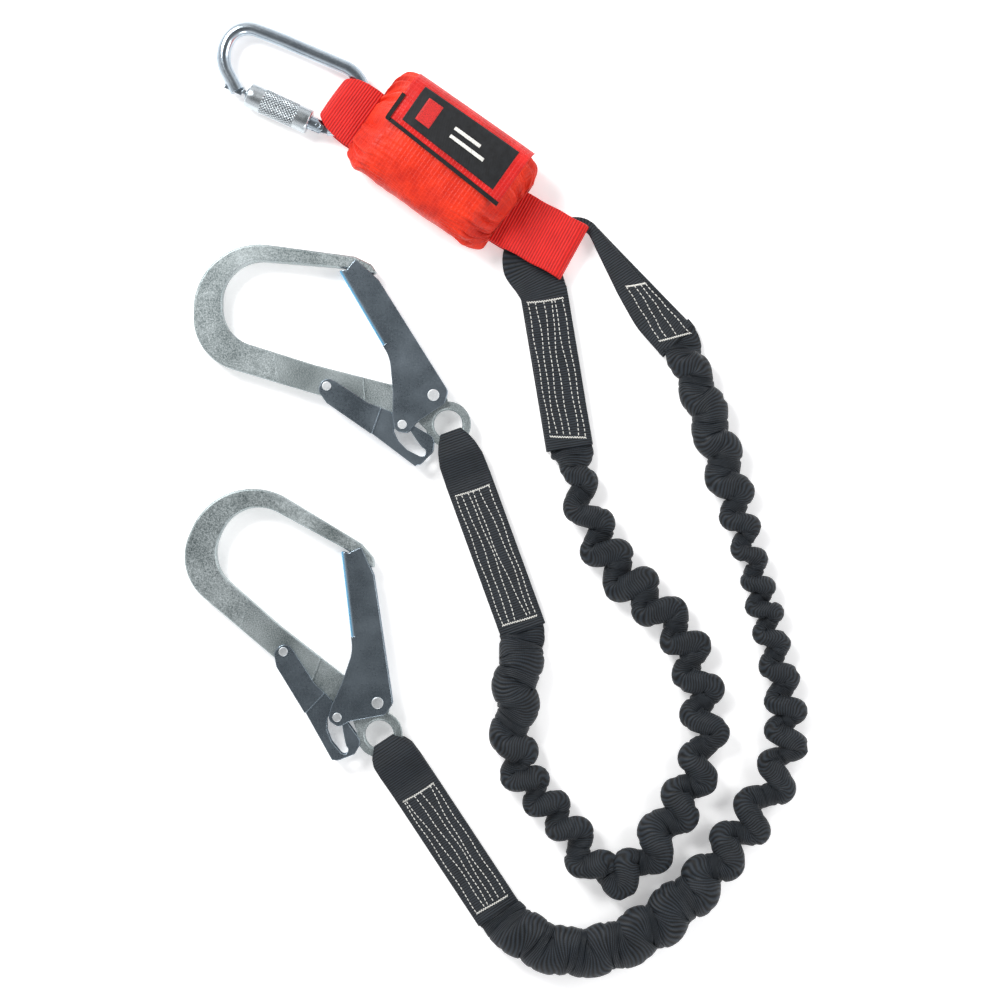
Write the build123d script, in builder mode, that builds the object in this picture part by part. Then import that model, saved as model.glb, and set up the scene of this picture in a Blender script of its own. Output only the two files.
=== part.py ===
from build123d import *
from math import atan2, cos, degrees, hypot, pi, radians, sin, tan
import os

# Twin-leg shock absorbing lanyard, laid flat on a level surface at z = 0, in millimetres.
# The origin is on that surface, under the middle of the energy absorber's pouch.
# Local frames: each piece is drawn in its own assembly's plane (pouch, karabiner, strap or hook).

os.makedirs("parts", exist_ok=True)

# ---------------------------------------------------------------- driving dimensions: pouch
pouch_length = 121.0
pouch_width = 83.0
pouch_height = 44.0
pouch_shoulder = 16.0          # rounding of the pouch's long edges
pouch_end_taper = 13.0         # how far the gathered ends draw in on each side
pouch_wall = 6.0               # fabric with its gathers
pouch_turn = -35.0             # direction of the pouch's long axis, degrees from +X
strap_gap = 0.4                # clearance between separate soft pieces

flap_length = 103.0
flap_reach = 41.0              # from the hinge side to the flap's free edge
flap_thickness = 1.2
flap_open_limit = 100.0
binding_width = 3.2
patch_length = 84.0
patch_width = 28.0
patch_thickness = 0.7
tape_thickness = 0.5           # hook tape and loop tape

# ---------------------------------------------------------------- driving dimensions: webbing
webbing = 2.4                  # thickness of one layer
red_width = 44.0
red_fold_width = 30.0          # where the loop is squeezed inside the karabiner
leg_width = 36.0
strap_box_height = 8.4         # three layers sewn together
thread = 1.2                   # width of a sewn line
thread_height = 0.5

# ---------------------------------------------------------------- driving dimensions: karabiner
bar_radius = 5.2
karabiner_half_width = 24.3    # bar centreline to the karabiner's middle line
gate_length = 62.0
sleeve_radius = 9.5
sleeve_start = 7.0             # from the hinge
nose_bare = 5.0                # the gate's tip that the sleeve leaves free
sleeve_length = gate_length - sleeve_start - nose_bare
knurl_length = 27.0
smooth_band = 11.0
run_clearance = 0.05           # radial clearance of a running fit
karabiner_turn = 155.5
karabiner_centre = (-82.0, 48.9)

# ---------------------------------------------------------------- driving dimensions: hook
bow_half = 6.0                 # half thickness of the forged bow
bow_chamfer = 0.9
arm_half = 5.6                 # half thickness of the lower arm
eye_half = 4.0                 # half thickness of the tail and the eye ring
eye_ring = 17.0
eye_hole = 10.6
gate_sheet = 2.0
gate_back_radius = 3.6         # outside bend of the gate's folded back
gate_inner = 6.1               # half gap between the gate's plates
lever_sheet = 1.6
lever_inner = 5.9              # half gap between the lever's outer plates
lever_nested = 4.2             # half gap between the lever's nested plates
gate_rivet_radius = 3.0
lever_rivet_radius = 2.2
link_pin_radius = 2.6
rivet_head_height = 1.1
slot_width = 6.6

# ---------------------------------------------------------------- driving dimensions: legs
elastic_diameter = 30.0
elastic_core_diameter = 15.0
floor_gap = 0.2


def direction(angle):
    """Unit vector in the XY plane at an angle in degrees."""
    return (cos(radians(angle)), sin(radians(angle)), 0)


def flat_plane(place, angle, height=0.0):
    """Horizontal plane at a place, its x axis turned by an angle."""
    return Plane(origin=(place[0], place[1], height), x_dir=direction(angle), z_dir=(0, 0, 1))


def upright(plane):
    """Upright plane through the given plane's x axis: sketch x along it, sketch y up."""
    return Plane(origin=plane.origin, x_dir=plane.x_dir, z_dir=-plane.y_dir)


def write(piece, name):
    """Label a finished piece and write it."""
    piece.label = name
    export_step(piece, f"parts/{name}.step")


# ================================================================ energy absorber
pouch_plane = flat_plane((0, 0), pouch_turn)
half_length = pouch_length / 2
half_width = pouch_width / 2
neck = half_width - pouch_end_taper
bar_middle = sleeve_radius + 0.3
loop_lift = bar_radius + strap_gap + 0.1
mouth_clearance = 0.6
mouth_width = red_width + 8
mouth_height = 2 * (loop_lift + webbing + mouth_clearance)
mouth_middle = bar_middle
mouth_offset = -5.0            # the straps enter to one side of the pouch's middle
cavity_height = pouch_height - 2 * pouch_wall

with BuildPart() as pouch_shell:
    with BuildSketch(pouch_plane):
        with BuildLine():
            Polyline(
                (-half_length, -neck), (-half_length + 22, -half_width), (half_length - 22, -half_width),
                (half_length, -neck), (half_length, neck), (half_length - 22, half_width),
                (-half_length + 22, half_width), (-half_length, neck), close=True)
        make_face()
    extrude(amount=pouch_height)
    long_edges = pouch_shell.faces().filter_by(Plane.XY).sort_by(Axis.Z)[-1].edges()
    fillet(long_edges, radius=pouch_shoulder)
    lower_edges = pouch_shell.faces().sort_by(Axis.Z)[0].edges()
    fillet(lower_edges, radius=pouch_shoulder * 0.5)
    with BuildSketch(pouch_plane.offset(pouch_wall)):
        Rectangle(pouch_length - 5 * pouch_wall, pouch_width - 5 * pouch_wall)
    extrude(amount=cavity_height, mode=Mode.SUBTRACT)
    with BuildSketch(pouch_plane.offset(mouth_middle - mouth_height / 2)):
        with Locations((0, mouth_offset)):
            Rectangle(pouch_length + 2, mouth_width)
    extrude(amount=mouth_height, mode=Mode.SUBTRACT)
write(pouch_shell.part, "pouch_shell")

pack_length = pouch_length - 5 * pouch_wall - 12
pack_layers = 6
pack_layer = (cavity_height - 2) / pack_layers
with BuildPart() as tear_webbing_pack:
    with BuildSketch(upright(pouch_plane)):
        for layer in range(pack_layers):
            with Locations((0, pouch_wall + 0.5 + pack_layer * (layer + 0.5))):
                Rectangle(pack_length, pack_layer - 0.6)
        for turn in range(pack_layers - 1):
            side = 1 if turn % 2 == 0 else -1
            with Locations((side * (pack_length / 2 - 2), pouch_wall + 0.5 + pack_layer * (turn + 1))):
                Rectangle(4, pack_layer)
    extrude(amount=red_width / 2 - 4, both=True)
write(tear_webbing_pack.part, "tear_webbing_pack")

# ---- flap: a sheet that rises from its hinge over the shoulder and lies along the pouch's top
flap_gap = 2 * tape_thickness + 0.4
hinge_height = pouch_height - pouch_shoulder - 2
flap_top = pouch_height + flap_gap
corner_x = half_width - pouch_shoulder
across_plane = Plane(origin=pouch_plane.origin, x_dir=pouch_plane.y_dir, z_dir=pouch_plane.x_dir)
flap_middle = 3.5


def flap_profile(inner, outer, near, far):
    """Section of a sheet over the shoulder, between two heights over the pouch, from far to near."""
    with BuildSketch() as section:
        with BuildLine():
            centre = (corner_x, pouch_height - pouch_shoulder)
            Line((near, pouch_height + inner), (centre[0], pouch_height + inner))
            CenterArc(centre, pouch_shoulder + inner, 0, 90)
            Line((centre[0] + pouch_shoulder + inner, centre[1]), (centre[0] + pouch_shoulder + inner, far))
            Line((centre[0] + pouch_shoulder + inner, far), (centre[0] + pouch_shoulder + outer, far))
            Line((centre[0] + pouch_shoulder + outer, far), (centre[0] + pouch_shoulder + outer, centre[1]))
            CenterArc(centre, pouch_shoulder + outer, 0, 90)
            Line((centre[0], pouch_height + outer), (near, pouch_height + outer))
            Line((near, pouch_height + outer), (near, pouch_height + inner))
        make_face()
    return section.sketch


flap_near = half_width - flap_reach
with BuildPart() as flap:
    with BuildSketch(across_plane.offset(flap_middle - flap_length / 2)):
        add(flap_profile(flap_gap, flap_gap + flap_thickness, flap_near + binding_width, hinge_height))
    extrude(amount=flap_length)
    with BuildSketch(pouch_plane.offset(flap_top - 1)):
        with Locations((flap_middle - flap_length / 2, flap_near)):
            Rectangle(2 * binding_width, 8 * binding_width, align=(Align.CENTER, Align.MIN))
    extrude(amount=flap_thickness + 2, mode=Mode.SUBTRACT)
write(flap.part, "flap")

with BuildPart() as flap_binding:
    with BuildSketch(pouch_plane.offset(flap_top - 0.2)):
        with Locations((flap_middle - flap_length / 2 - 1, flap_near)):
            Rectangle(flap_length + 1, binding_width, align=(Align.MIN, Align.MIN))
        with Locations((flap_middle - flap_length / 2 - 1, flap_near)):
            Rectangle(binding_width + 1, 8 * binding_width, align=(Align.MIN, Align.MIN))
    extrude(amount=flap_thickness + 0.4)
write(flap_binding.part, "flap_binding")

patch_middle = (flap_middle + 1, flap_near + binding_width + 2 + patch_width / 2)
with BuildPart() as label_patch:
    with BuildSketch(pouch_plane.offset(flap_top + flap_thickness)):
        with Locations(patch_middle):
            Rectangle(patch_length, min(patch_width, corner_x - flap_near - binding_width - 3))
    extrude(amount=patch_thickness)
write(label_patch.part, "label_patch")

with BuildPart() as loop_tape:
    with BuildSketch(pouch_plane.offset(pouch_height)):
        with Locations((flap_middle, flap_near + binding_width + 4)):
            Rectangle(patch_length * 0.8, 6)
    extrude(amount=tape_thickness)
write(loop_tape.part, "loop_tape")

with BuildPart() as hook_tape:
    with BuildSketch(pouch_plane.offset(flap_top - tape_thickness)):
        with Locations((flap_middle, flap_near + binding_width + 4)):
            Rectangle(patch_length * 0.8, 6)
    extrude(amount=tape_thickness)
write(hook_tape.part, "hook_tape")

with BuildPart() as label_pack:
    with BuildSketch(pouch_plane.offset(pouch_height)):
        with Locations((flap_middle, flap_near + binding_width + 14)):
            Rectangle(patch_length * 0.9, 12)
    extrude(amount=flap_gap - 0.5)
write(label_pack.part, "label_pack")

band_depth = 4.0
with BuildPart() as pouch_end_bands:
    for end in (-1, 1):
        band_start = half_length if end > 0 else -half_length - band_depth
        with BuildSketch(across_plane.offset(band_start)):
            with Locations((mouth_offset, mouth_middle)):
                RectangleRounded(mouth_width + pouch_wall, mouth_height + 2, 4)
                Rectangle(mouth_width, mouth_height, mode=Mode.SUBTRACT)
        extrude(amount=band_depth)
write(pouch_end_bands.part, "pouch_end_bands")

# ---- loop that holds the karabiner
karabiner_loop_turn = 144.0
loop_plane = flat_plane(karabiner_centre, karabiner_loop_turn)
loop_fold = -2.0
loop_tail = -(hypot(*karabiner_centre) - half_length + 12)
loop_inner_end = -(karabiner_half_width + bar_radius + 1.2)
with BuildPart() as karabiner_loop:
    with BuildSketch(upright(loop_plane)):
        with BuildLine():
            FilletPolyline(
                (loop_fold, bar_middle - loop_lift - webbing), (loop_fold, bar_middle + loop_lift + webbing),
                (loop_tail, bar_middle + loop_lift + webbing), (loop_tail, bar_middle - loop_lift - webbing),
                radius=2.0, close=True)
        make_face()
        with BuildLine():
            FilletPolyline(
                (loop_fold - webbing, bar_middle - loop_lift), (loop_fold - webbing, bar_middle + loop_lift),
                (loop_inner_end, bar_middle + loop_lift), (loop_inner_end, bar_middle - loop_lift),
                radius=1.5, close=True)
        make_face(mode=Mode.SUBTRACT)
    extrude(amount=red_width / 2, both=True)
    with BuildSketch(loop_plane):
        with BuildLine():
            Polyline(
                (loop_fold + 1, -red_fold_width / 2), (loop_fold + 1, red_fold_width / 2),
                (loop_fold - 8, red_fold_width / 2 + 1.5), (loop_fold - 30, red_width / 2),
                (loop_tail - 1, red_width / 2), (loop_tail - 1, -red_width / 2),
                (loop_fold - 30, -red_width / 2), (loop_fold - 8, -red_fold_width / 2 - 1.5), close=True)
        make_face()
    extrude(amount=pouch_height, mode=Mode.INTERSECT)
write(karabiner_loop.part, "karabiner_loop")

# ---- loop that holds the two legs
leg_loop_start = (53.9, -43.3)
leg_loop_turn = -28.7
leg_loop_plane = flat_plane(leg_loop_start, leg_loop_turn)
leg_loop_fold = 51.2
leg_loop_bottom = 3.2
leg_loop_top = 16.0
leg_loop_tail = -(hypot(*leg_loop_start) - half_length + 13.4)
leg_loop_inner_end = 12.0
with BuildPart() as leg_loop:
    with BuildSketch(upright(leg_loop_plane)):
        with BuildLine():
            FilletPolyline(
                (leg_loop_tail, leg_loop_bottom), (leg_loop_fold, leg_loop_bottom), (leg_loop_fold, leg_loop_top),
                (leg_loop_tail, leg_loop_top), radius=2.0, close=True)
        make_face()
        with BuildLine():
            FilletPolyline(
                (leg_loop_inner_end, leg_loop_bottom + webbing), (leg_loop_fold - webbing, leg_loop_bottom + webbing),
                (leg_loop_fold - webbing, leg_loop_top - webbing), (leg_loop_inner_end, leg_loop_top - webbing),
                radius=1.5, close=True)
        make_face(mode=Mode.SUBTRACT)
    extrude(amount=red_width / 2, both=True)
write(leg_loop.part, "leg_loop")

# ---- black webbing that passes through the leg loop and joins the two legs
yoke_bottom = leg_loop_bottom + webbing + strap_gap
with BuildPart() as yoke_strap:
    with BuildSketch(Plane.XY.offset(yoke_bottom)):
        with BuildLine():
            Polyline(
                (60.6, -96.65), (55.0, -70.5), (68.0, -56.0), (86.0, -36.0), (98.0, -33.0), (112.0, -38.0),
                (118.0, -46.0), (117.3, -51.73), (113.0, -50.77), (110.5, -46.0), (104.0, -45.0),
                (84.0, -80.0), (84.5, -86.0), (91.8, -92.75), close=True)
        make_face()
    extrude(amount=webbing)
write(yoke_strap.part, "yoke_strap")

# ================================================================ sewn straps of the legs
strap_top = floor_gap + strap_box_height


def strap_box(corners, name):
    """Three layers of webbing sewn flat on each other, between four corners."""
    with BuildPart() as strap:
        with BuildSketch(Plane.XY.offset(floor_gap)):
            with BuildLine():
                Polyline(*corners, close=True)
            make_face()
        extrude(amount=strap_box_height)
        fillet(strap.edges().filter_by(Axis.Z), radius=1.5)
    write(strap.part, name)


def between(start, end, share):
    """Point part of the way from one point to another."""
    return (start[0] + (end[0] - start[0]) * share, start[1] + (end[1] - start[1]) * share)


def thread_line(start, end, height):
    """One sewn line: a low bar between two points."""
    length = hypot(end[0] - start[0], end[1] - start[1])
    turn = degrees(atan2(end[1] - start[1], end[0] - start[0]))
    with BuildPart() as line:
        with BuildSketch(flat_plane(between(start, end, 0.5), turn, height)):
            Rectangle(length, thread)
        extrude(amount=thread_height)
    return line.part


def stitching(corners, name):
    """Cross bars and five long lines on a sewn strap, corners in order round it."""
    first_left, first_right, last_right, last_left = corners
    with BuildPart() as sewn:
        for share in (0.07, 0.95):
            left = between(first_left, last_left, share)
            right = between(first_right, last_right, share)
            add(thread_line(between(left, right, 0.1), between(left, right, 0.9), strap_top))
        for line in range(5):
            across = 0.12 + 0.19 * line
            start = between(between(first_left, last_left, 0.07), between(first_right, last_right, 0.07), across)
            end = between(between(first_left, last_left, 0.95), between(first_right, last_right, 0.95), across)
            add(thread_line(start, end, strap_top))
    write(sewn.part, name)


leg_a_box = [(58.6, -96.9), (93.8, -92.5), (113.7, -215.6), (78.4, -211.9)]
leg_b_box = [(111.8, -50.5), (118.5, -52.0), (193.0, -130.0), (161.0, -137.6)]
strap_box(leg_a_box, "leg_a_absorber_strap")
strap_box(leg_b_box, "leg_b_absorber_strap")
stitching(leg_a_box, "leg_a_absorber_stitching")
leg_b_sewn = [between(leg_b_box[0], leg_b_box[3], 0.45), between(leg_b_box[1], leg_b_box[2], 0.45),
              leg_b_box[2], leg_b_box[3]]
stitching(leg_b_sewn, "leg_b_absorber_stitching")

# ================================================================ elastic legs
leg_a_route = [
    (97.0, -214.2), (101.5, -236.0), (108.5, -262.0), (120.5, -290.0), (138.0, -313.5), (160.0, -331.0),
    (179.5, -353.0), (191.0, -382.0), (197.0, -413.0), (196.5, -441.0), (187.0, -466.0), (172.0, -489.0),
    (158.5, -513.0), (140.5, -533.5), (118.0, -534.5), (103.5, -512.0), (89.0, -488.0), (68.5, -471.0),
    (55.0, -448.5), (52.5, -420.0), (56.0, -391.0), (61.4, -352.5)]
leg_b_route = [
    (178.5, -134.6), (188.0, -157.0), (200.0, -192.0), (214.0, -236.0), (227.0, -281.0), (239.0, -326.0),
    (250.0, -370.0), (258.5, -414.0), (257.0, -445.0), (245.0, -470.0), (224.0, -500.0), (203.0, -529.0),
    (176.0, -557.0), (146.0, -579.0), (116.0, -590.0), (86.0, -590.0), (60.0, -577.5), (42.8, -562.6)]
elastic_height = elastic_diameter / 2 + floor_gap


def bend_radii(route):
    """Largest arc that fits each corner: 0.45 of the shorter run over the tangent of half the turn."""
    radii = []
    for before, here, after in zip(route, route[1:], route[2:]):
        into = Vector(here[0] - before[0], here[1] - before[1])
        out = Vector(after[0] - here[0], after[1] - here[1])
        half_turn = radians(into.get_angle(out)) / 2
        radii.append(0.45 * min(into.length, out.length) / tan(half_turn))
    return radii


def leg_elastic(route, name):
    """Gathered tubular webbing along a route, and the elastic core inside it."""
    points = [(x, y, elastic_height) for x, y in route]
    radii = bend_radii(route)
    print(name, "bend radii", [round(radius) for radius in radii])
    with BuildLine() as path:
        FilletPolyline(*points, radius=radii)
    start = Plane(origin=path.line @ 0, z_dir=path.line % 0)
    with BuildPart() as tube:
        with BuildSketch(start):
            Circle(elastic_diameter / 2)
            Circle(elastic_core_diameter / 2 + strap_gap, mode=Mode.SUBTRACT)
        sweep(path=path.line)
    write(tube.part, f"{name}_elastic_webbing")
    length = path.wire().length
    print(name, "length", round(length, 1), "volume", round(tube.part.volume),
          "section x length", round(start_area() * length))
    with BuildPart() as core:
        with BuildSketch(start):
            Circle(elastic_core_diameter / 2)
        sweep(path=path.line)
    write(core.part, f"{name}_elastic_core")


def start_area():
    """Area of the gathered webbing's ring section."""
    outer = elastic_diameter / 2
    inner = elastic_core_diameter / 2 + strap_gap
    return pi * (outer * outer - inner * inner)


leg_elastic(leg_a_route, "leg_a")
leg_elastic(leg_b_route, "leg_b")

# ================================================================ karabiner
# Local frame: origin at the middle of the round end, x along the karabiner, y towards the gate.
karabiner_plane = flat_plane(karabiner_centre, karabiner_turn, bar_middle)
hinge = (0.0, karabiner_half_width)
hinge_pin_radius = 1.6
fork_half = 2.0
collar_radius = bar_radius
basket_start = 18.0            # degrees of arc left free for the hinge
nose_end = gate_length + 2.0
nose_pin_half = bar_radius - 1.0
plunger_bore = bar_radius / 2
plunger_gap = 0.2

with BuildPart() as karabiner_frame:
    with BuildLine(karabiner_plane) as frame_path:
        round_end = CenterArc((0, 0), karabiner_half_width, 90 + basket_start, 180 - basket_start)
        FilletPolyline(
            (0, -karabiner_half_width), (50, -23.2), (88.5, -21.0), (87.5, 9.0), (66.0, 25.5),
            radius=[200, 17, 26])
    with BuildSketch(Plane(origin=frame_path.line @ 0, z_dir=frame_path.line % 0)):
        Circle(bar_radius)
    sweep(path=frame_path.line)
    with BuildSketch(karabiner_plane.offset(-fork_half)):
        with Locations(hinge):
            Circle(bar_radius - 0.6)
        with BuildLine():
            Polyline((0, karabiner_half_width + 4.4), (-9, karabiner_half_width + 2.5),
                     (-9, karabiner_half_width - 6), (0, karabiner_half_width - 4.4), close=True)
        make_face()
        with Locations(hinge):
            Circle(hinge_pin_radius, mode=Mode.SUBTRACT)
    extrude(amount=2 * fork_half)
    with BuildSketch(karabiner_plane.offset(-1.5)):
        with Locations((nose_end - 2, karabiner_half_width)):
            Rectangle(14, 6, align=(Align.MIN, Align.CENTER))
    extrude(amount=3.0)
write(karabiner_frame.part, "karabiner_frame")

with BuildPart() as karabiner_nose_pin:
    with BuildSketch(karabiner_plane.offset(-nose_pin_half)):
        with Locations((nose_end - 3.6, karabiner_half_width)):
            Circle(hinge_pin_radius)
    extrude(amount=2 * nose_pin_half)
write(karabiner_nose_pin.part, "karabiner_nose_pin")

gate_axis_plane = Plane(
    origin=karabiner_plane.from_local_coords((0, karabiner_half_width, 0)),
    x_dir=karabiner_plane.y_dir, z_dir=karabiner_plane.x_dir)
with BuildPart() as karabiner_gate:
    with BuildSketch(gate_axis_plane.offset(-bar_radius)):
        Circle(collar_radius)
    extrude(amount=gate_length + bar_radius)
    with BuildSketch(karabiner_plane.offset(-fork_half - 0.2)):
        with Locations(hinge):
            Circle(bar_radius + 0.5)
        with Locations(hinge):
            Rectangle(10, 2 * bar_radius + 2, align=(Align.MAX, Align.CENTER))
    extrude(amount=2 * fork_half + 0.4, mode=Mode.SUBTRACT)
    with BuildSketch(karabiner_plane.offset(-bar_radius)):
        with Locations(hinge):
            Circle(hinge_pin_radius + run_clearance)
    extrude(amount=2 * bar_radius, mode=Mode.SUBTRACT)
    with BuildSketch(karabiner_plane.offset(-bar_radius)):
        with BuildLine():
            Polyline((-bar_radius - 1, karabiner_half_width - 7), (0, karabiner_half_width - 7),
                     (0, karabiner_half_width + 7), (-bar_radius - 1, karabiner_half_width + 7), close=True)
        make_face()
        with Locations(hinge):
            Circle(bar_radius - 0.2, mode=Mode.SUBTRACT)
    extrude(amount=2 * bar_radius, mode=Mode.SUBTRACT)
    with BuildSketch(karabiner_plane.offset(-2.0)):
        with Locations((gate_length + 0.1, karabiner_half_width)):
            Rectangle(6.5, 2 * bar_radius + 1, align=(Align.MAX, Align.CENTER))
    extrude(amount=4.0, mode=Mode.SUBTRACT)
    with BuildSketch(karabiner_plane.offset(-bar_radius)):
        with Locations((nose_end - 3.6, karabiner_half_width)):
            Rectangle(4.2, 2 * bar_radius + 1)
    extrude(amount=2 * bar_radius, mode=Mode.SUBTRACT)
    with BuildSketch(gate_axis_plane.offset(18)):
        Circle(plunger_bore)
    extrude(amount=28, mode=Mode.SUBTRACT)
write(karabiner_gate.part, "karabiner_gate")

with BuildPart() as karabiner_hinge_rivet:
    with BuildSketch(karabiner_plane.offset(-bar_radius)):
        with Locations(hinge):
            Circle(hinge_pin_radius)
    extrude(amount=2 * bar_radius)
write(karabiner_hinge_rivet.part, "karabiner_hinge_rivet")

with BuildPart() as karabiner_plunger:
    with BuildSketch(gate_axis_plane.offset(18.5)):
        Circle(plunger_bore - plunger_gap)
    extrude(amount=8)
write(karabiner_plunger.part, "karabiner_plunger")

with BuildPart() as karabiner_plunger_spring:
    for turn in range(7):
        with BuildSketch(gate_axis_plane.offset(27.4 + 2.6 * turn)):
            Circle(plunger_bore - 0.3)
            Circle(plunger_bore - 1.1, mode=Mode.SUBTRACT)
        extrude(amount=1.2)
write(karabiner_plunger_spring.part, "karabiner_plunger_spring")

sleeve_bore = collar_radius + 1.4
with BuildPart() as karabiner_sleeve:
    with BuildSketch(gate_axis_plane.offset(sleeve_start)):
        Circle(sleeve_radius)
    extrude(amount=sleeve_length)
    ends = karabiner_sleeve.faces().filter_by(GeomType.PLANE).edges()
    chamfer(ends, length=0.8)
    with BuildSketch(gate_axis_plane.offset(sleeve_start + smooth_band)):
        Circle(sleeve_radius + 1)
        Circle(sleeve_radius - 0.25, mode=Mode.SUBTRACT)
    extrude(amount=knurl_length, mode=Mode.SUBTRACT)
    with BuildSketch(gate_axis_plane.offset(sleeve_start)):
        Circle(collar_radius + run_clearance)
    extrude(amount=sleeve_length, mode=Mode.SUBTRACT)
    with BuildSketch(gate_axis_plane.offset(sleeve_start + 5)):
        Circle(sleeve_bore)
    extrude(amount=sleeve_length - 12, mode=Mode.SUBTRACT)
write(karabiner_sleeve.part, "karabiner_sleeve")

with BuildPart() as karabiner_sleeve_spring:
    for turn in range(9):
        with BuildSketch(gate_axis_plane.offset(sleeve_start + 7 + 3.4 * turn)):
            Circle(sleeve_bore - 0.1)
            Circle(collar_radius + 0.15, mode=Mode.SUBTRACT)
        extrude(amount=1.1)
write(karabiner_sleeve_spring.part, "karabiner_sleeve_spring")

# ================================================================ scaffold hooks
# Local frame: origin in the middle of the eye, x to the right and y towards the bow as the hook
# is drawn, its middle plane halfway up. Two hooks are the same and lie at different turns.
gate_pivot = (-10.85, 21.56)
link_place = (-34.1, -0.3)
lever_pivot = (-90.4, 28.3)
hook_middle = gate_inner + gate_sheet + rivet_head_height + floor_gap
lever_slot = [(-34.1, -0.3), (-37.4, -4.4), (-34.4, -10.6), (-28.7, -16.3), (-19.8, -20.8)]
link_travel = [(-34.1, -0.3), (-30.0, -8.0), (-25.4, -14.8), (-22.5, -18.6)]

bow_outline = [
    ((-52.6, 112.4), 1.5), ((-57.0, 119.0), 3), ((-69.4, 125.0), 5), ((-189.7, 141.0), 49),
    ((-189.7, 49.5), 40), ((-97.0, 22.0), 20), ((-46.0, 9.4), 20), ((-26.0, 5.5), 2), ((-12.0, -9.0), 1),
    ((4.0, 2.0), 1), ((-2.0, 24.0), 1), ((-9.0, 30.4), 3), ((-24.0, 29.6), 8), ((-41.6, 29.3), 20),
    ((-100.0, 44.3), 60), ((-168.5, 65.9), 29), ((-168.5, 124.1), 30), ((-77.2, 116.5), 14),
    ((-60.0, 112.0), 6)]

gate_outline = [
    ((-81.4, 114.4), 1), ((-75.8, 114.4), 1), ((-68.7, 122.9), 1.5),
    ((-51.5, 107.2), 3), ((-0.1, 25.1), 4), ((-2.3, 15.5), 4), ((-24.0, 1.0), 4), ((-30.0, -6.6), 4),
    ((-39.5, -5.0), 4.5), ((-41.3, 6.0), 3), ((-41.0, 24.0), 10), ((-43.3, 49.4), 30)]
gate_room = [
    (-79.67, 115.4), (-69.0, 130.0), (-40.0, 118.0), (12.0, 25.0), (4.0, -20.0), (-60.0, -20.0),
    (-52.0, 46.0), (-47.2, 53.3), (-44.27, 55.0)]

lever_outer = [
    ((-96.8, 25.0), 6), ((-93.0, 35.5), 6), ((-84.0, 32.0), 3), ((-59.4, 15.8), 8), ((-50.0, 12.3), 1),
    ((-57.0, -7.5), 1), ((-90.5, 15.8), 4)]
lever_nest = [
    ((-56.0, 14.4), 1), ((-44.4, 10.1), 8), ((-26.1, -0.8), 8), ((-12.0, -9.0), 3), ((-10.3, -13.7), 2),
    ((-11.1, -20.5), 3), ((-23.1, -32.5), 6), ((-62.0, -3.0), 4)]


def outline(points):
    """Closed outline through corner points, each rounded by its own radius."""
    corners = [corner for corner, radius in points]
    radii = [radius for corner, radius in points]
    with BuildSketch() as section:
        with BuildLine():
            FilletPolyline(*corners, radius=radii, close=True)
        make_face()
    return section.sketch


def rounded_prism(plane, points, low, high):
    """Prism over a rounded outline, both sides of a plane or from one height to another."""
    with BuildPart() as prism:
        with BuildSketch(plane.offset(low)):
            add(outline(points))
        extrude(amount=high - low)
    return prism.part


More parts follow.
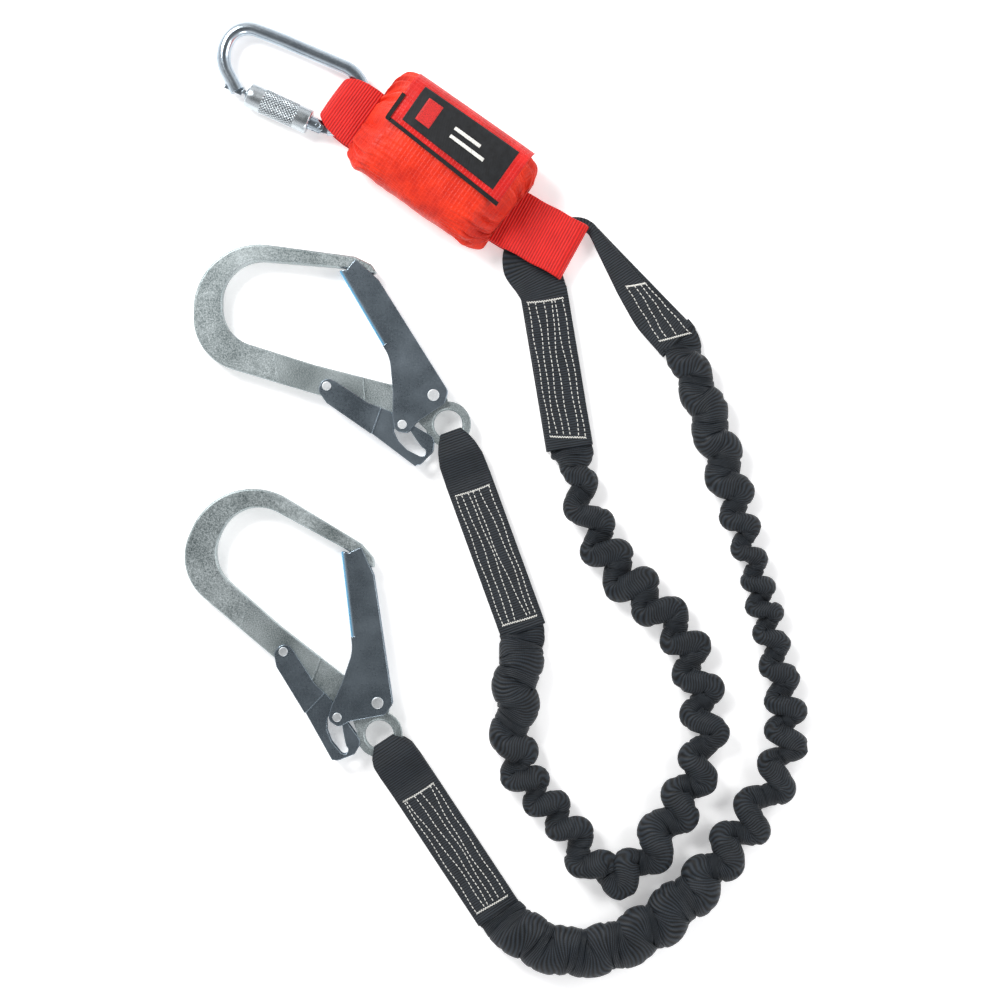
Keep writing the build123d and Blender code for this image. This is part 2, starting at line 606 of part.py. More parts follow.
def hook(name, eye, turn):
    """One scaffold hook with its gate, squeeze lever, rivets and spring."""
    plane = flat_plane(eye, turn, hook_middle)

    with BuildPart() as body:
        with BuildSketch(plane.offset(-bow_half)):
            add(outline(bow_outline))
        extrude(amount=2 * bow_half)
        flats = body.faces().sort_by(Axis.Z)
        chamfer([*flats[0].outer_wire().edges(), *flats[-1].outer_wire().edges()], length=bow_chamfer)
        with BuildSketch(plane.offset(-bow_half)):
            Circle(eye_ring)
            with Locations(gate_pivot):
                Circle(9.0)
        extrude(amount=2 * bow_half)
        for side in (-1, 1):
            step_base = plane.offset(side * arm_half)
            with BuildSketch(step_base):
                with BuildLine():
                    Polyline((-131, 60), (-125, 18), (-60, -20), (24, -20), (24, 40), (-40, 34), (-100, 58),
                             close=True)
                make_face()
            extrude(amount=side * 2, mode=Mode.SUBTRACT)
            with BuildSketch(plane.offset(side * eye_half)):
                with BuildLine():
                    Polyline((-64, 45), (-60, -20), (24, -20), (24, 40), (-40, 50), close=True)
                make_face()
            extrude(amount=side * 3, mode=Mode.SUBTRACT)
        with BuildSketch(plane.offset(-bow_half)):
            Circle(eye_hole)
            with Locations(gate_pivot):
                Circle(gate_rivet_radius)
            with Locations(lever_pivot):
                Circle(lever_rivet_radius)
        extrude(amount=2 * bow_half, mode=Mode.SUBTRACT)
        hole_rims = body.edges().filter_by(GeomType.CIRCLE).filter_by(
            lambda edge: abs(edge.radius - eye_hole) < 0.01)
        chamfer(hole_rims, length=1.2)
    write(body.part, f"{name}_body")

    outer = gate_inner + gate_sheet
    with BuildPart() as gate:
        add(rounded_prism(plane, gate_outline, -outer, outer))
        tip, (end, end_radius) = gate_outline[0][0], gate_outline[-1]
        corner = gate_back_radius
        back_plane = Plane(
            origin=plane.from_local_coords((*tip, 0)), z_dir=plane.from_local_coords((*end, 0))
            - plane.from_local_coords((*tip, 0)), x_dir=plane.z_dir)
        with BuildSketch(back_plane.offset(-3)):
            for side in (-1, 1):
                with Locations((side * (outer - corner / 2), -corner / 2)):
                    Rectangle(corner, corner)
                with Locations((side * (outer - corner), -corner)):
                    Circle(corner, mode=Mode.SUBTRACT)
        extrude(amount=hypot(end[0] - tip[0], end[1] - tip[1]) - end_radius / 4, mode=Mode.SUBTRACT)
        with BuildSketch(plane.offset(-gate_inner)):
            with BuildLine():
                Polyline(*gate_room, close=True)
            make_face()
        extrude(amount=2 * gate_inner, mode=Mode.SUBTRACT)
        with BuildSketch(plane.offset(-outer)):
            with Locations(gate_pivot):
                Circle(gate_rivet_radius + run_clearance)
            with Locations(link_place):
                Circle(link_pin_radius)
        extrude(amount=2 * outer, mode=Mode.SUBTRACT)
    write(gate.part, f"{name}_gate")

    lever_top = lever_inner + lever_sheet
    nest_top = lever_nested + lever_sheet
    with BuildPart() as lever:
        add(rounded_prism(plane, lever_outer, -lever_top, lever_top))
        with BuildSketch(plane.offset(-lever_inner)):
            with BuildLine():
                Polyline((-110, 60), (-40, 40), (-40, 0), (-54.5, -5.0), (-89.5, 18.2), (-110, 24), close=True)
            make_face()
        extrude(amount=2 * lever_inner, mode=Mode.SUBTRACT)
        for low, high in ((lever_nested, lever_inner), (-lever_inner, -lever_nested)):
            add(rounded_prism(plane, lever_nest, low, high))
        with BuildSketch(plane.offset(-lever_inner)):
            with BuildLine():
                Polyline((-58, -5.8), (-24.5, -31.4), (-22.0, -29.0), (-56, -3.0), close=True)
            make_face()
        extrude(amount=2 * lever_inner)
        with BuildSketch(plane.offset(-lever_top)):
            with Locations(lever_pivot):
                Circle(lever_rivet_radius + run_clearance)
            for track in (lever_slot, link_travel):
                for start, end in zip(track, track[1:]):
                    length = hypot(end[0] - start[0], end[1] - start[1])
                    turned = degrees(atan2(end[1] - start[1], end[0] - start[0]))
                    with Locations(between(start, end, 0.5)):
                        SlotCenterToCenter(length, slot_width, rotation=turned)
        extrude(amount=2 * lever_top, mode=Mode.SUBTRACT)
    write(lever.part, f"{name}_lever")

    def pin(place, radius, head, reach, label):
        """Rivet through the hook at a place, with a round head at each end."""
        with BuildPart() as rivet:
            with BuildSketch(plane.offset(-reach)):
                with Locations(place):
                    Circle(radius)
            extrude(amount=2 * reach)
            for end in (-1, 1):
                with BuildSketch(plane.offset(end * reach)):
                    with Locations(place):
                        Circle(head)
                extrude(amount=end * rivet_head_height)
            rims = rivet.faces().sort_by(Axis.Z)
            fillet([*rims[0].edges(), *rims[-1].edges()], radius=0.5)
        write(rivet.part, f"{name}_{label}")

    pin(gate_pivot, gate_rivet_radius, 4.4, outer + 0.02, "gate_rivet")
    pin(lever_pivot, lever_rivet_radius, 3.4, lever_top + 0.02, "lever_rivet")
    pin(link_place, link_pin_radius, 3.4, outer, "link_pin")

    with BuildPart() as washers:
        for side in (-1, 1):
            with BuildSketch(plane.offset(side * (eye_half + 0.02))):
                with Locations(gate_pivot):
                    Circle(5.2)
                    Circle(gate_rivet_radius + run_clearance, mode=Mode.SUBTRACT)
            extrude(amount=side * (gate_inner - eye_half - 0.06))
    write(washers.part, f"{name}_gate_washers")

    with BuildPart() as spring:
        for turn_index in range(2):
            with BuildSketch(plane.offset(eye_half + 0.1 + 0.95 * turn_index)):
                with Locations(gate_pivot):
                    Circle(7.4)
                    Circle(6.6, mode=Mode.SUBTRACT)
            extrude(amount=0.8)
    write(spring.part, f"{name}_gate_spring")


hook("hook_a", (5.1, -196.0), 0.0)
hook("hook_b", (-46.1, -427.6), -23.7)


def eye_strap(name, eye, turn, length):
    """Webbing that passes through a hook's eye, wraps the ring and is sewn to itself."""
    plane = flat_plane(eye, turn)
    ring_low = hook_middle - eye_half - strap_gap
    ring_high = hook_middle + eye_half + strap_gap
    with BuildPart() as strap:
        with BuildSketch(upright(plane)):
            with BuildLine():
                FilletPolyline(
                    (4.8, ring_low - webbing), (4.8, ring_high + webbing), (22, ring_high + webbing),
                    (42, strap_top), (length, strap_top), (length, floor_gap), (40, floor_gap),
                    (22, ring_low - webbing), radius=[1.5, 1.5, 1.5, 1.5, 1.0, 1.0, 1.5, 1.5], close=True)
            make_face()
            with BuildLine():
                FilletPolyline(
                    (4.8 + webbing, ring_low), (4.8 + webbing, ring_high), (22, ring_high), (30, ring_low + 1.5),
                    (26, ring_low), radius=0.4, close=True)
            make_face(mode=Mode.SUBTRACT)
        extrude(amount=leg_width / 2, both=True)
        with BuildSketch(plane):
            with BuildLine():
                Polyline(
                    (4, -6), (4, 6), (9, 6.4), (18, 10), (42, leg_width / 2), (length + 1, leg_width / 2),
                    (length + 1, -leg_width / 2), (42, -leg_width / 2), (18, -10), (9, -6.4), close=True)
            make_face()
        extrude(amount=pouch_height, mode=Mode.INTERSECT)
    write(strap.part, f"{name}_hook_strap")
    edge = leg_width / 2
    corners = [(44, -edge), (44, edge), (length, edge), (length, -edge)]
    placed = []
    for x, y in corners:
        corner = plane.from_local_coords((x, y, 0))
        placed.append((corner.X, corner.Y))
    stitching(placed, f"{name}_hook_stitching")


eye_strap("leg_a", (5.1, -196.0), -70.0, 164.5)
eye_strap("leg_b", (-46.1, -427.6), -56.6, 160.8)
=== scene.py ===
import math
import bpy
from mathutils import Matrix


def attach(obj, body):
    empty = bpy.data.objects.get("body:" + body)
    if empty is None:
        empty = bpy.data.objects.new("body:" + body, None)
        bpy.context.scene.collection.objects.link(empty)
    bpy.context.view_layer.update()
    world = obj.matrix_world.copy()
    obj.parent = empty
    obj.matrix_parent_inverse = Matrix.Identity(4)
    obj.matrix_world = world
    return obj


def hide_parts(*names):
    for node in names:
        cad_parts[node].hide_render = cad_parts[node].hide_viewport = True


bl_info = {
    "name": "Shock Absorbing Lanyard",
    "version": (1, 0, 0),
    "blender": (4, 5, 0),
    "location": "View3D > Sidebar > Lanyard",
    "description": "Builds the soft goods, stitching and finishes of a twin-leg lanyard round its metalwork",
    "category": "Object",
}

import bmesh
import bpy
import numpy as np
from mathutils import Vector

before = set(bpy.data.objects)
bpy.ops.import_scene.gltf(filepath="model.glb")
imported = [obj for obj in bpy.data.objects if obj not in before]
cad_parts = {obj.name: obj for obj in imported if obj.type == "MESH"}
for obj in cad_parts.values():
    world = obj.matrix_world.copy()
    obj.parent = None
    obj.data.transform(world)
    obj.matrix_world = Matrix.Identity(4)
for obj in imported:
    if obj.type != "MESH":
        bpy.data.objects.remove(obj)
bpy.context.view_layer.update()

MM = 0.001
WARP_PITCH_MM = 0.9

# The legs' routes on the floor, in metres: the same points as the frame's tubes follow.
LEG_A_ROUTE = [
    (0.0970, -0.2142), (0.1015, -0.2360), (0.1085, -0.2620), (0.1205, -0.2900), (0.1380, -0.3135),
    (0.1600, -0.3310), (0.1795, -0.3530), (0.1910, -0.3820), (0.1970, -0.4130), (0.1965, -0.4410),
    (0.1870, -0.4660), (0.1720, -0.4890), (0.1585, -0.5130), (0.1405, -0.5335), (0.1180, -0.5345),
    (0.1035, -0.5120), (0.0890, -0.4880), (0.0685, -0.4710), (0.0550, -0.4485), (0.0525, -0.4200),
    (0.0560, -0.3910), (0.0614, -0.3525)]
LEG_B_ROUTE = [
    (0.1785, -0.1346), (0.1880, -0.1570), (0.2000, -0.1920), (0.2140, -0.2360), (0.2270, -0.2810),
    (0.2390, -0.3260), (0.2500, -0.3700), (0.2585, -0.4140), (0.2570, -0.4450), (0.2450, -0.4700),
    (0.2240, -0.5000), (0.2030, -0.5290), (0.1760, -0.5570), (0.1460, -0.5790), (0.1160, -0.5900),
    (0.0860, -0.5900), (0.0600, -0.5775), (0.0428, -0.5626)]

# Places of the metalwork, in metres and degrees, as the frame has them.
KARABINER_CENTRE = (-0.0820, 0.0489)
KARABINER_TURN = 155.5
GATE_LINE = 0.0243
BAR_HEIGHT = 0.0098
SLEEVE_START = 0.007
POUCH_TURN = -35.0
LEG_LOOP_START = (0.0539, -0.0433)
LEG_LOOP_TURN = -28.7
KARABINER_LOOP_TURN = 144.0
HOOK_EYES = {"a": (0.0051, -0.1960), "b": (-0.0461, -0.4276)}
HOOK_STRAP_TURNS = {"a": -70.0, "b": -56.6}
HOOK_STRAP_LENGTHS = {"a": 0.1645, "b": 0.1608}
LEG_A_BOX = [(0.0586, -0.0969), (0.0938, -0.0925), (0.1137, -0.2156), (0.0784, -0.2119)]
LEG_B_BOX = [(0.1118, -0.0505), (0.1185, -0.0520), (0.1930, -0.1300), (0.1610, -0.1376)]
STACK_TOP = 0.0086

# What the camera looks at, and how wide its view is there.
VIEW_MIDDLE = (0.0438, -0.2525, 0.0)
VIEW_WIDTH = 0.7463


# ------------------------------------------------------------------------------ numpy helpers
def unit(rows):
    """Each row divided by its own length."""
    return rows / np.maximum(np.linalg.norm(rows, axis=-1, keepdims=True), 1e-12)


def ease(x):
    """Smooth step from 0 to 1: three x squared less two x cubed, held at 0 and 1 outside."""
    x = np.clip(x, 0.0, 1.0)
    return x * x * (3.0 - 2.0 * x)


def place(points, origin, turn, height=0.0):
    """Local points turned by an angle in degrees about +Z and moved to an origin on the floor."""
    angle = math.radians(turn)
    turned = np.array(points, float)
    x = turned[..., 0] * math.cos(angle) - turned[..., 1] * math.sin(angle) + origin[0]
    y = turned[..., 0] * math.sin(angle) + turned[..., 1] * math.cos(angle) + origin[1]
    return np.stack([x, y, turned[..., 2] + height], axis=-1)


def resample(points, step):
    """The same line with evenly spaced points, linear between the given ones."""
    points = np.asarray(points, float)
    run = distances(points)
    count = max(2, int(round(run[-1] / step)) + 1)
    wanted = np.linspace(0.0, run[-1], count)
    line = np.stack([np.interp(wanted, run, points[:, axis]) for axis in range(3)], axis=1)
    return line, wanted


def smooth(line, passes):
    """Each inner point moved halfway to the middle of its neighbours, a number of times."""
    line = line.copy()
    for _ in range(passes):
        line[1:-1] = 0.5 * line[1:-1] + 0.25 * (line[:-2] + line[2:])
    return line


def even_out(values, window):
    """Values averaged with a Hann window of an odd number of places, the end values held past the ends."""
    kernel = np.hanning(window) / np.hanning(window).sum()
    return np.convolve(np.pad(values, window // 2, mode="edge"), kernel, mode="valid")


def distances(line):
    """How far along a line each of its points is."""
    return np.concatenate([[0.0], np.cumsum(np.linalg.norm(np.diff(line, axis=0), axis=1))])


def tangents(line):
    """Unit direction at each point of a line, from its neighbours' difference."""
    return unit(np.gradient(line, axis=0))


def mesh_object(name, points, face_sets, uv=None, closed=False):
    """A new object from vertex rows and sets of face index rows, with a UV pair for each vertex if given.
    A closed mesh has its faces turned outwards."""
    mesh = bpy.data.meshes.new(name)
    mesh.from_pydata(points.tolist(), [], [row for faces in face_sets for row in faces.tolist()])
    if closed:
        work = bmesh.new()
        work.from_mesh(mesh)
        bmesh.ops.recalc_face_normals(work, faces=work.faces)
        work.to_mesh(mesh)
        work.free()
    if uv is not None:
        layer = mesh.uv_layers.new(name="weave")
        corners = np.empty(len(mesh.loops), dtype=np.int32)
        mesh.loops.foreach_get("vertex_index", corners)
        layer.data.foreach_set("uv", uv[corners].astype(np.float32).ravel())
    mesh.polygons.foreach_set("use_smooth", np.full(len(mesh.polygons), True))
    item = bpy.data.objects.new(name, mesh)
    bpy.context.collection.objects.link(item)
    return item


def grid_faces(rows, columns, close_columns):
    """Quads of a grid of rows by columns, the last column joined to the first if asked."""
    i = np.arange(rows - 1)[:, None]
    last = columns if close_columns else columns - 1
    j = np.arange(last)[None, :]
    k = (j + 1) % columns
    quads = np.stack([i * columns + j, i * columns + k, (i + 1) * columns + k, (i + 1) * columns + j], axis=-1)
    return quads.reshape(-1, 4)


def closed_tube(name, rings, uv):
    """A tube through rings of points, each end closed by a fan of triangles to the middle of its ring."""
    rows, columns = rings.shape[:2]
    points = rings.reshape(-1, 3)
    points = np.vstack([points, points[:columns].mean(axis=0), points[-columns:].mean(axis=0)])
    uv = np.vstack([uv.reshape(-1, 2), uv[0].mean(axis=0), uv[-1].mean(axis=0)])
    j = np.arange(columns)
    k = (j + 1) % columns
    base = (rows - 1) * columns
    caps = [np.stack([k, j, np.full(columns, rows * columns)], axis=-1),
            np.stack([base + j, base + k, np.full(columns, rows * columns + 1)], axis=-1)]
    return mesh_object(name, points, [grid_faces(rows, columns, True)] + caps, uv, closed=True)


def band(name, line, across, widths, thickness, crown=0.0):
    """Webbing carried along a line. The section is a rectangle with round edges: half the width across,
    half the thickness up, its long sides crowned by a share, and UV runs along and across in metres."""
    line = np.asarray(line, float)
    along = tangents(line)
    across = unit(across - along * np.sum(across * along, axis=1, keepdims=True))
    up = np.cross(along, across)
    half = np.broadcast_to(np.asarray(widths, float) / 2, (len(line),))
    t = thickness / 2
    edge_points = 5
    angle = np.linspace(-np.pi / 2, np.pi / 2, edge_points)
    side_u = np.cos(angle) * t
    side_v = np.sin(angle) * t
    flat = np.linspace(-1.0, 1.0, 15)[1:-1]
    u_fixed = np.concatenate([side_u, np.zeros(len(flat)), -side_u, np.zeros(len(flat))])
    u_share = np.concatenate([np.ones(edge_points), -flat, -np.ones(edge_points), flat])
    v_fixed = np.concatenate([side_v, np.full(len(flat), t), -side_v, np.full(len(flat), -t)])
    lift = crown * (1 - u_share ** 2)
    reach = (half - t)[:, None] * u_share[None, :] + u_fixed[None, :]
    rise = v_fixed[None, :] + lift[None, :] * half[:, None]
    rings = line[:, None, :] + across[:, None, :] * reach[..., None] + up[:, None, :] * rise[..., None]
    uv = np.stack([np.broadcast_to(distances(line)[:, None], reach.shape), reach], axis=-1)
    return closed_tube(name, rings, uv)


def stitches(name, starts, ends, radius):
    """Threads lying on cloth: a six-sided spindle, thin at both ends, turned and stretched to each stitch."""
    starts, ends = np.asarray(starts, float), np.asarray(ends, float)
    along = ends - starts
    forward = unit(along)
    side = unit(np.cross(np.array([0.0, 0.0, 1.0]), forward))
    up = np.cross(forward, side)
    stations = np.array([0.0, 0.12, 0.5, 0.88, 1.0])
    fat = np.array([0.35, 0.9, 1.0, 0.9, 0.35]) * radius
    drop = np.array([-1.0, -0.2, 0.25, -0.2, -1.0]) * radius
    turn = np.arange(6) * np.pi / 3
    rings = (
        starts[:, None, None, :] + along[:, None, None, :] * stations[None, :, None, None]
        + side[:, None, None, :] * (np.cos(turn)[None, :] * fat[:, None])[None, ..., None]
        + up[:, None, None, :] * (np.sin(turn)[None, :] * fat[:, None] + drop[:, None])[None, ..., None])
    count, rows, columns = rings.shape[:3]
    faces = grid_faces(rows, columns, True)
    caps = np.array([[0, 5, 4, 3], [0, 3, 2, 1], [24, 25, 26, 27], [24, 27, 28, 29]])
    one = np.vstack([faces, caps])
    every = (one[None] + (np.arange(count) * rows * columns)[:, None, None]).reshape(-1, 4)
    return mesh_object(name, rings.reshape(-1, 3), [every], closed=True)


# ------------------------------------------------------------------------------ materials
def linear(text):
    """Linear RGBA from an sRGB hex value."""
    channels = [int(text[i:i + 2], 16) / 255 for i in (0, 2, 4)]
    return tuple([c / 12.92 if c <= 0.04045 else ((c + 0.055) / 1.055) ** 2.4 for c in channels] + [1.0])


MATH, RAMP, NOISE, WAVE, BUMP, MIX, UV, COORDINATES = (
    "ShaderNodeMath", "ShaderNodeValToRGB", "ShaderNodeTexNoise", "ShaderNodeTexWave", "ShaderNodeBump",
    "ShaderNodeMix", "ShaderNodeUVMap", "ShaderNodeTexCoord")


def node(tree, kind, inputs=None, out=0, stops=(), **settings):
    """Adds one node with its settings and, on a ramp, its (place, colour) stops. An input is a value, or the
    socket that it is linked from. Returns the output asked for."""
    item = tree.nodes.new(kind)
    for key, value in settings.items():
        setattr(item, key, value)
    for key, value in (inputs or {}).items():
        if isinstance(value, bpy.types.NodeSocket):
            tree.links.new(value, item.inputs[key])
        else:
            item.inputs[key].default_value = value
    for index, (spot, colour) in enumerate(stops):
        element = item.color_ramp.elements[index] if index < 2 else item.color_ramp.elements.new(spot)
        element.position = spot
        element.color = linear(colour) if isinstance(colour, str) else colour
    return item.outputs[out]


def new_material(name, **constants):
    """A material with one Principled shader, its constants set on the shader's own sockets."""
    material = bpy.data.materials.new(name)
    material.use_nodes = True
    shader = material.node_tree.nodes["Principled BSDF"]
    for key, value in constants.items():
        shader.inputs[key.replace("_", " ")].default_value = value
    return material.node_tree, shader


def wire(tree, shader, **sockets):
    """Links sockets to the shader's inputs of the same names."""
    for key, socket in sockets.items():
        tree.links.new(socket, shader.inputs[key.replace("_", " ")])


def pitch_scale(pitch_mm, distortion):
    """Inputs of a wave texture whose bands lie a pitch apart: its scale is 100 pi over the pitch in mm."""
    return {"Scale": 100 * math.pi / pitch_mm, "Distortion": distortion, "Detail": 1.0, "Detail Scale": 2.0}


def webbing_material(name, dark, light, rib_mm, roughness, sheen, depth_mm, floor):
    """Polyester webbing, woven: ribs across its length, each a weft yarn, with fine warp yarns over them and a slow
    drift in its tone. The rib and warp height that sets the bump also sets the colour, as painted highlights on the rib
    crests and painted shade between, so the eye sees rows of soft highlights with dark between."""
    tree, shader = new_material(
        name, Roughness=roughness, Sheen_Weight=sheen, Sheen_Roughness=0.4, Specular_IOR_Level=0.3)
    uv = node(tree, UV, uv_map="weave")
    ribs, warp = [
        node(tree, WAVE, {"Vector": uv, **pitch_scale(pitch, bend)}, "Fac", bands_direction=axis)
        for axis, pitch, bend in (("X", rib_mm, 0.5), ("Y", WARP_PITCH_MM, 0.3))]
    mottle = node(tree, NOISE, {"Vector": uv, "Scale": 1 / (14.3 * MM), "Detail": 4.0}, "Fac")
    height = node(tree, MATH, {0: warp, 1: 0.22, 2: ribs}, operation="MULTIPLY_ADD")
    drift = node(tree, MATH, {0: mottle, 1: 0.4}, operation="MULTIPLY")
    # tone: the rib and warp height, painted highlight on the crests and painted shade between, plus the real slow drift
    tone = node(tree, MATH, {0: height, 1: 0.6, 2: drift}, operation="MULTIPLY_ADD")
    bump = node(tree, BUMP, {"Strength": 0.8, "Distance": depth_mm * MM, "Height": height})
    wire(tree, shader, Base_Color=node(tree, RAMP, {"Fac": tone}, stops=[(floor, dark), (0.9, light)]), Normal=bump)


def ripstop_material(name, dark, light, square_mm):
    """Ripstop nylon, woven and coated: a thin cloth with a raised square grid of thicker yarns, fine creases that run
    across the bag and soft crumples. The grid, creases and crumples that set the bump also set the colour, so raised
    yarns and crests get painted highlight and hollows painted shade, and the eye sees a bright, slightly glossy, uneven
    skin."""
    tree, shader = new_material(name, Roughness=0.48, Sheen_Weight=0.06, Specular_IOR_Level=0.32)
    uv = node(tree, UV, uv_map="weave")
    lines = []
    for axis in ("X", "Y"):
        wave = node(tree, WAVE, {"Vector": uv, **pitch_scale(square_mm, 0.3)}, "Fac", bands_direction=axis)
        lines.append(node(tree, MATH, {0: wave, 1: 7.0}, operation="POWER"))
    grid = node(tree, MATH, {0: lines[0], 1: lines[1]}, operation="MAXIMUM")
    stretched = node(tree, "ShaderNodeMapping", {"Vector": uv, "Scale": (1.0, 0.6, 1.0)})
    creases = node(
        tree, NOISE, {"Vector": stretched, "Scale": 1 / (5.88 * MM), "Detail": 3.0, "Roughness": 0.5}, "Fac")
    broad = node(tree, NOISE, {"Vector": uv, "Scale": 1 / (23.8 * MM), "Detail": 3.0}, "Fac")
    # tone: the grid, creases and crumples of the bump height, as painted highlight on crests and painted shade in
    # hollows
    tone = node(tree, MATH, {0: grid, 1: 0.1}, operation="MULTIPLY")
    for part, share in ((creases, 0.3), (broad, 0.7)):
        tone = node(tree, MATH, {0: part, 1: share, 2: tone}, operation="MULTIPLY_ADD")
    folds = node(tree, MATH, {0: broad, 1: 1.2, 2: creases}, operation="MULTIPLY_ADD")
    height = node(tree, MATH, {0: grid, 1: 0.26, 2: folds}, operation="MULTIPLY_ADD")
    bump = node(tree, BUMP, {"Strength": 0.7, "Distance": 1.1 * MM, "Height": height})
    wire(tree, shader, Base_Color=node(tree, RAMP, {"Fac": tone}, stops=[(0.3, dark), (0.72, light)]), Normal=bump)


def zinc_material(name, dark, light, roughness, grain_mm, speckle, bump_mm, edge_mm, fold=None, groove=False):
    """Zinc-plated steel, forged, pressed or turned: its tone mixes the plating's fine speckle with a slow drift. The
    eye sees bright edges, rounded in the shading normal, a blue painted as a reflection on faces that tilt away from
    the floor's plane where a sheet is folded, and painted shade in the cut grooves."""
    tree, shader = new_material(name, Metallic=1.0)
    spot = node(tree, COORDINATES, out="Object")
    drift = node(tree, NOISE, {"Vector": spot, "Scale": 1 / (35.7 * MM), "Detail": 3.0}, "Fac")
    grain = node(tree, NOISE, {"Vector": spot, "Scale": 1000 / grain_mm, "Detail": 1.0}, "Fac")
    slow = node(tree, MATH, {0: drift, 1: 1 - speckle}, operation="MULTIPLY")
    tone = node(tree, MATH, {0: grain, 1: speckle, 2: slow}, operation="MULTIPLY_ADD")
    colour = node(tree, RAMP, {"Fac": tone}, stops=[(0.32, dark), (0.68, light)])
    # painted reflection: the fold colour is mixed in by how far each face tilts from the floor's plane, most on a
    # sheet's bends
    if fold is not None:
        normal = node(tree, "ShaderNodeNewGeometry", out="Normal")
        flat = node(tree, MATH, {0: node(tree, "ShaderNodeSeparateXYZ", {0: normal}, "Z")}, operation="ABSOLUTE")
        share = node(tree, RAMP, {"Fac": flat},
                     stops=[(0.05, "404040"), (0.25, "ffffff"), (0.75, "d0d0d0"), (0.93, "000000")])
        colour = node(tree, MIX, {0: share, 6: colour, 7: linear(fold)}, 2, data_type="RGBA")
    # painted shade: the knurl's groove depth darkens the colour in the grooves
    if groove:
        cut = node(tree, "ShaderNodeAttribute", out="Fac", attribute_name="groove")
        shade = node(tree, RAMP, {"Fac": cut}, stops=[(0.25, "ffffff"), (0.85, "5c6267")])
        colour = node(tree, MIX, {0: 1.0, 6: colour, 7: shade}, 2, data_type="RGBA", blend_type="MULTIPLY")
    rough = node(tree, "ShaderNodeMapRange", {
        "Value": tone, "From Min": 0.3, "From Max": 0.7, "To Min": roughness * 0.75, "To Max": roughness * 1.3})
    relief = {"Strength": 0.6, "Distance": bump_mm * MM, "Height": grain}
    if edge_mm:
        relief["Normal"] = node(tree, "ShaderNodeBevel", {"Radius": edge_mm * MM}, samples=6)
    wire(tree, shader, Base_Color=colour, Roughness=rough, Normal=node(tree, BUMP, relief))


def thread_material(name, dark, light):
    """Polyester sewing thread, twisted and bonded. The twist noise that sets the bump also sets the colour, so the eye
    sees pale dashes with painted shade where their twist sinks.
    """
    tree, shader = new_material(name, Roughness=0.6, Sheen_Weight=0.2)
    spot = node(tree, COORDINATES, out="Object")
    twist = node(tree, NOISE, {"Vector": spot, "Scale": 1 / (0.667 * MM), "Detail": 1.0}, "Fac")
    bump = node(tree, BUMP, {"Strength": 0.4, "Distance": 0.2 * MM, "Height": twist})
    # colour: the twist height, painted shade in the twist's hollows on the thread's pale tone
    wire(tree, shader, Base_Color=node(tree, RAMP, {"Fac": twist}, stops=[(0.3, dark), (0.6, light)]), Normal=bump)


def label_material(name, dark, light):
    """Polyester tape or damask label, woven close: fine even ridges, so the eye sees a flat black with a soft
    lustre. The ridges are 0.8 mm apart, coarser than real ones, so that they show."""
    tree, shader = new_material(name, Roughness=0.62, Sheen_Weight=0.12, Specular_IOR_Level=0.3)
    uv = node(tree, UV, uv_map="weave")
    weave = node(tree, WAVE, {"Vector": uv, **pitch_scale(0.8, 0.5)}, "Fac", bands_direction="DIAGONAL")
    noise = node(tree, NOISE, {"Vector": uv, "Scale": 1 / (4.55 * MM), "Detail": 3.0}, "Fac")
    bump = node(tree, BUMP, {"Strength": 0.35, "Distance": 0.2 * MM, "Height": weave})
    wire(tree, shader, Base_Color=node(tree, RAMP, {"Fac": noise}, stops=[(0.3, dark), (0.75, light)]), Normal=bump)


# Each finish: its maker, its dark and light tones, and its own numbers. A colour setting is given by name.
# On webbing, ripstop and thread the ramp follows the relief: the light tone doubles as painted highlight on crests, the
# dark tone as painted shade in hollows. The blue sheet's last colour is a painted blue reflection on tilted faces; the
# sleeve's True turns on painted shade in its grooves.
FINISHES = {
    "red polyester webbing": (webbing_material, "a00607", "red_webbing", 2.1, 0.55, 0.05, 0.45, 0.15),
    "black elasticated webbing": (webbing_material, "030405", "black_webbing", 1.65, 0.48, 0.04, 0.45, 0.3),
    "black polyester webbing": (webbing_material, "030405", "black_webbing", 1.9, 0.5, 0.04, 0.4, 0.25),
    "red ripstop nylon": (ripstop_material, "b31003", "ripstop", 3.0),
    "red coated flap cloth": (ripstop_material, "a80a08", "e2201a", 3.0),
    "black binding tape": (label_material, "060607", "141517"),
    "black damask label": (label_material, "101113", "1d1f22"),
    "black fastener tape": (label_material, "0b0b0c", "202124"),
    "white bonded thread": (thread_material, "b9b7b0", "thread"),
    "red bonded thread": (thread_material, "9c0a0a", "d4140f"),
    "zinc-plated forging": (zinc_material, "7c898a", "d2dadb", 0.46, 0.75, 0.6, 0.03, 1.3),
    "blue-passivated zinc sheet": (zinc_material, "8a98a3", "a3b0ba", 0.3, 1.1, 0.35, 0.004, 0.9, "5fb4e0"),
    "bright zinc-plated bar": (zinc_material, "8c9ba8", "cfd9e0", 0.2, 0.8, 0.4, 0.015, 0.7),
    "satin zinc sleeve": (zinc_material, "b4bdc2", "d4dadd", 0.27, 0.8, 0.3, 0.003, 0, None, True),
    "bright rivet": (zinc_material, "d2d7d9", "f2f4f5", 0.5, 0.8, 0.3, 0.01, 0.5),
    "spring wire": (zinc_material, "7e8488", "a8adb0", 0.3, 0.5, 0.4, 0.01, 0.2),
}


def finish_for(name):
    """The named finish, made when it is first asked for."""
    if name not in bpy.data.materials:
        maker, *values = FINISHES[name]
        colours = bpy.context.scene.lanyard_colours
        maker(name, *[getattr(colours, value, value) if isinstance(value, str) else value for value in values])
    return bpy.data.materials[name]


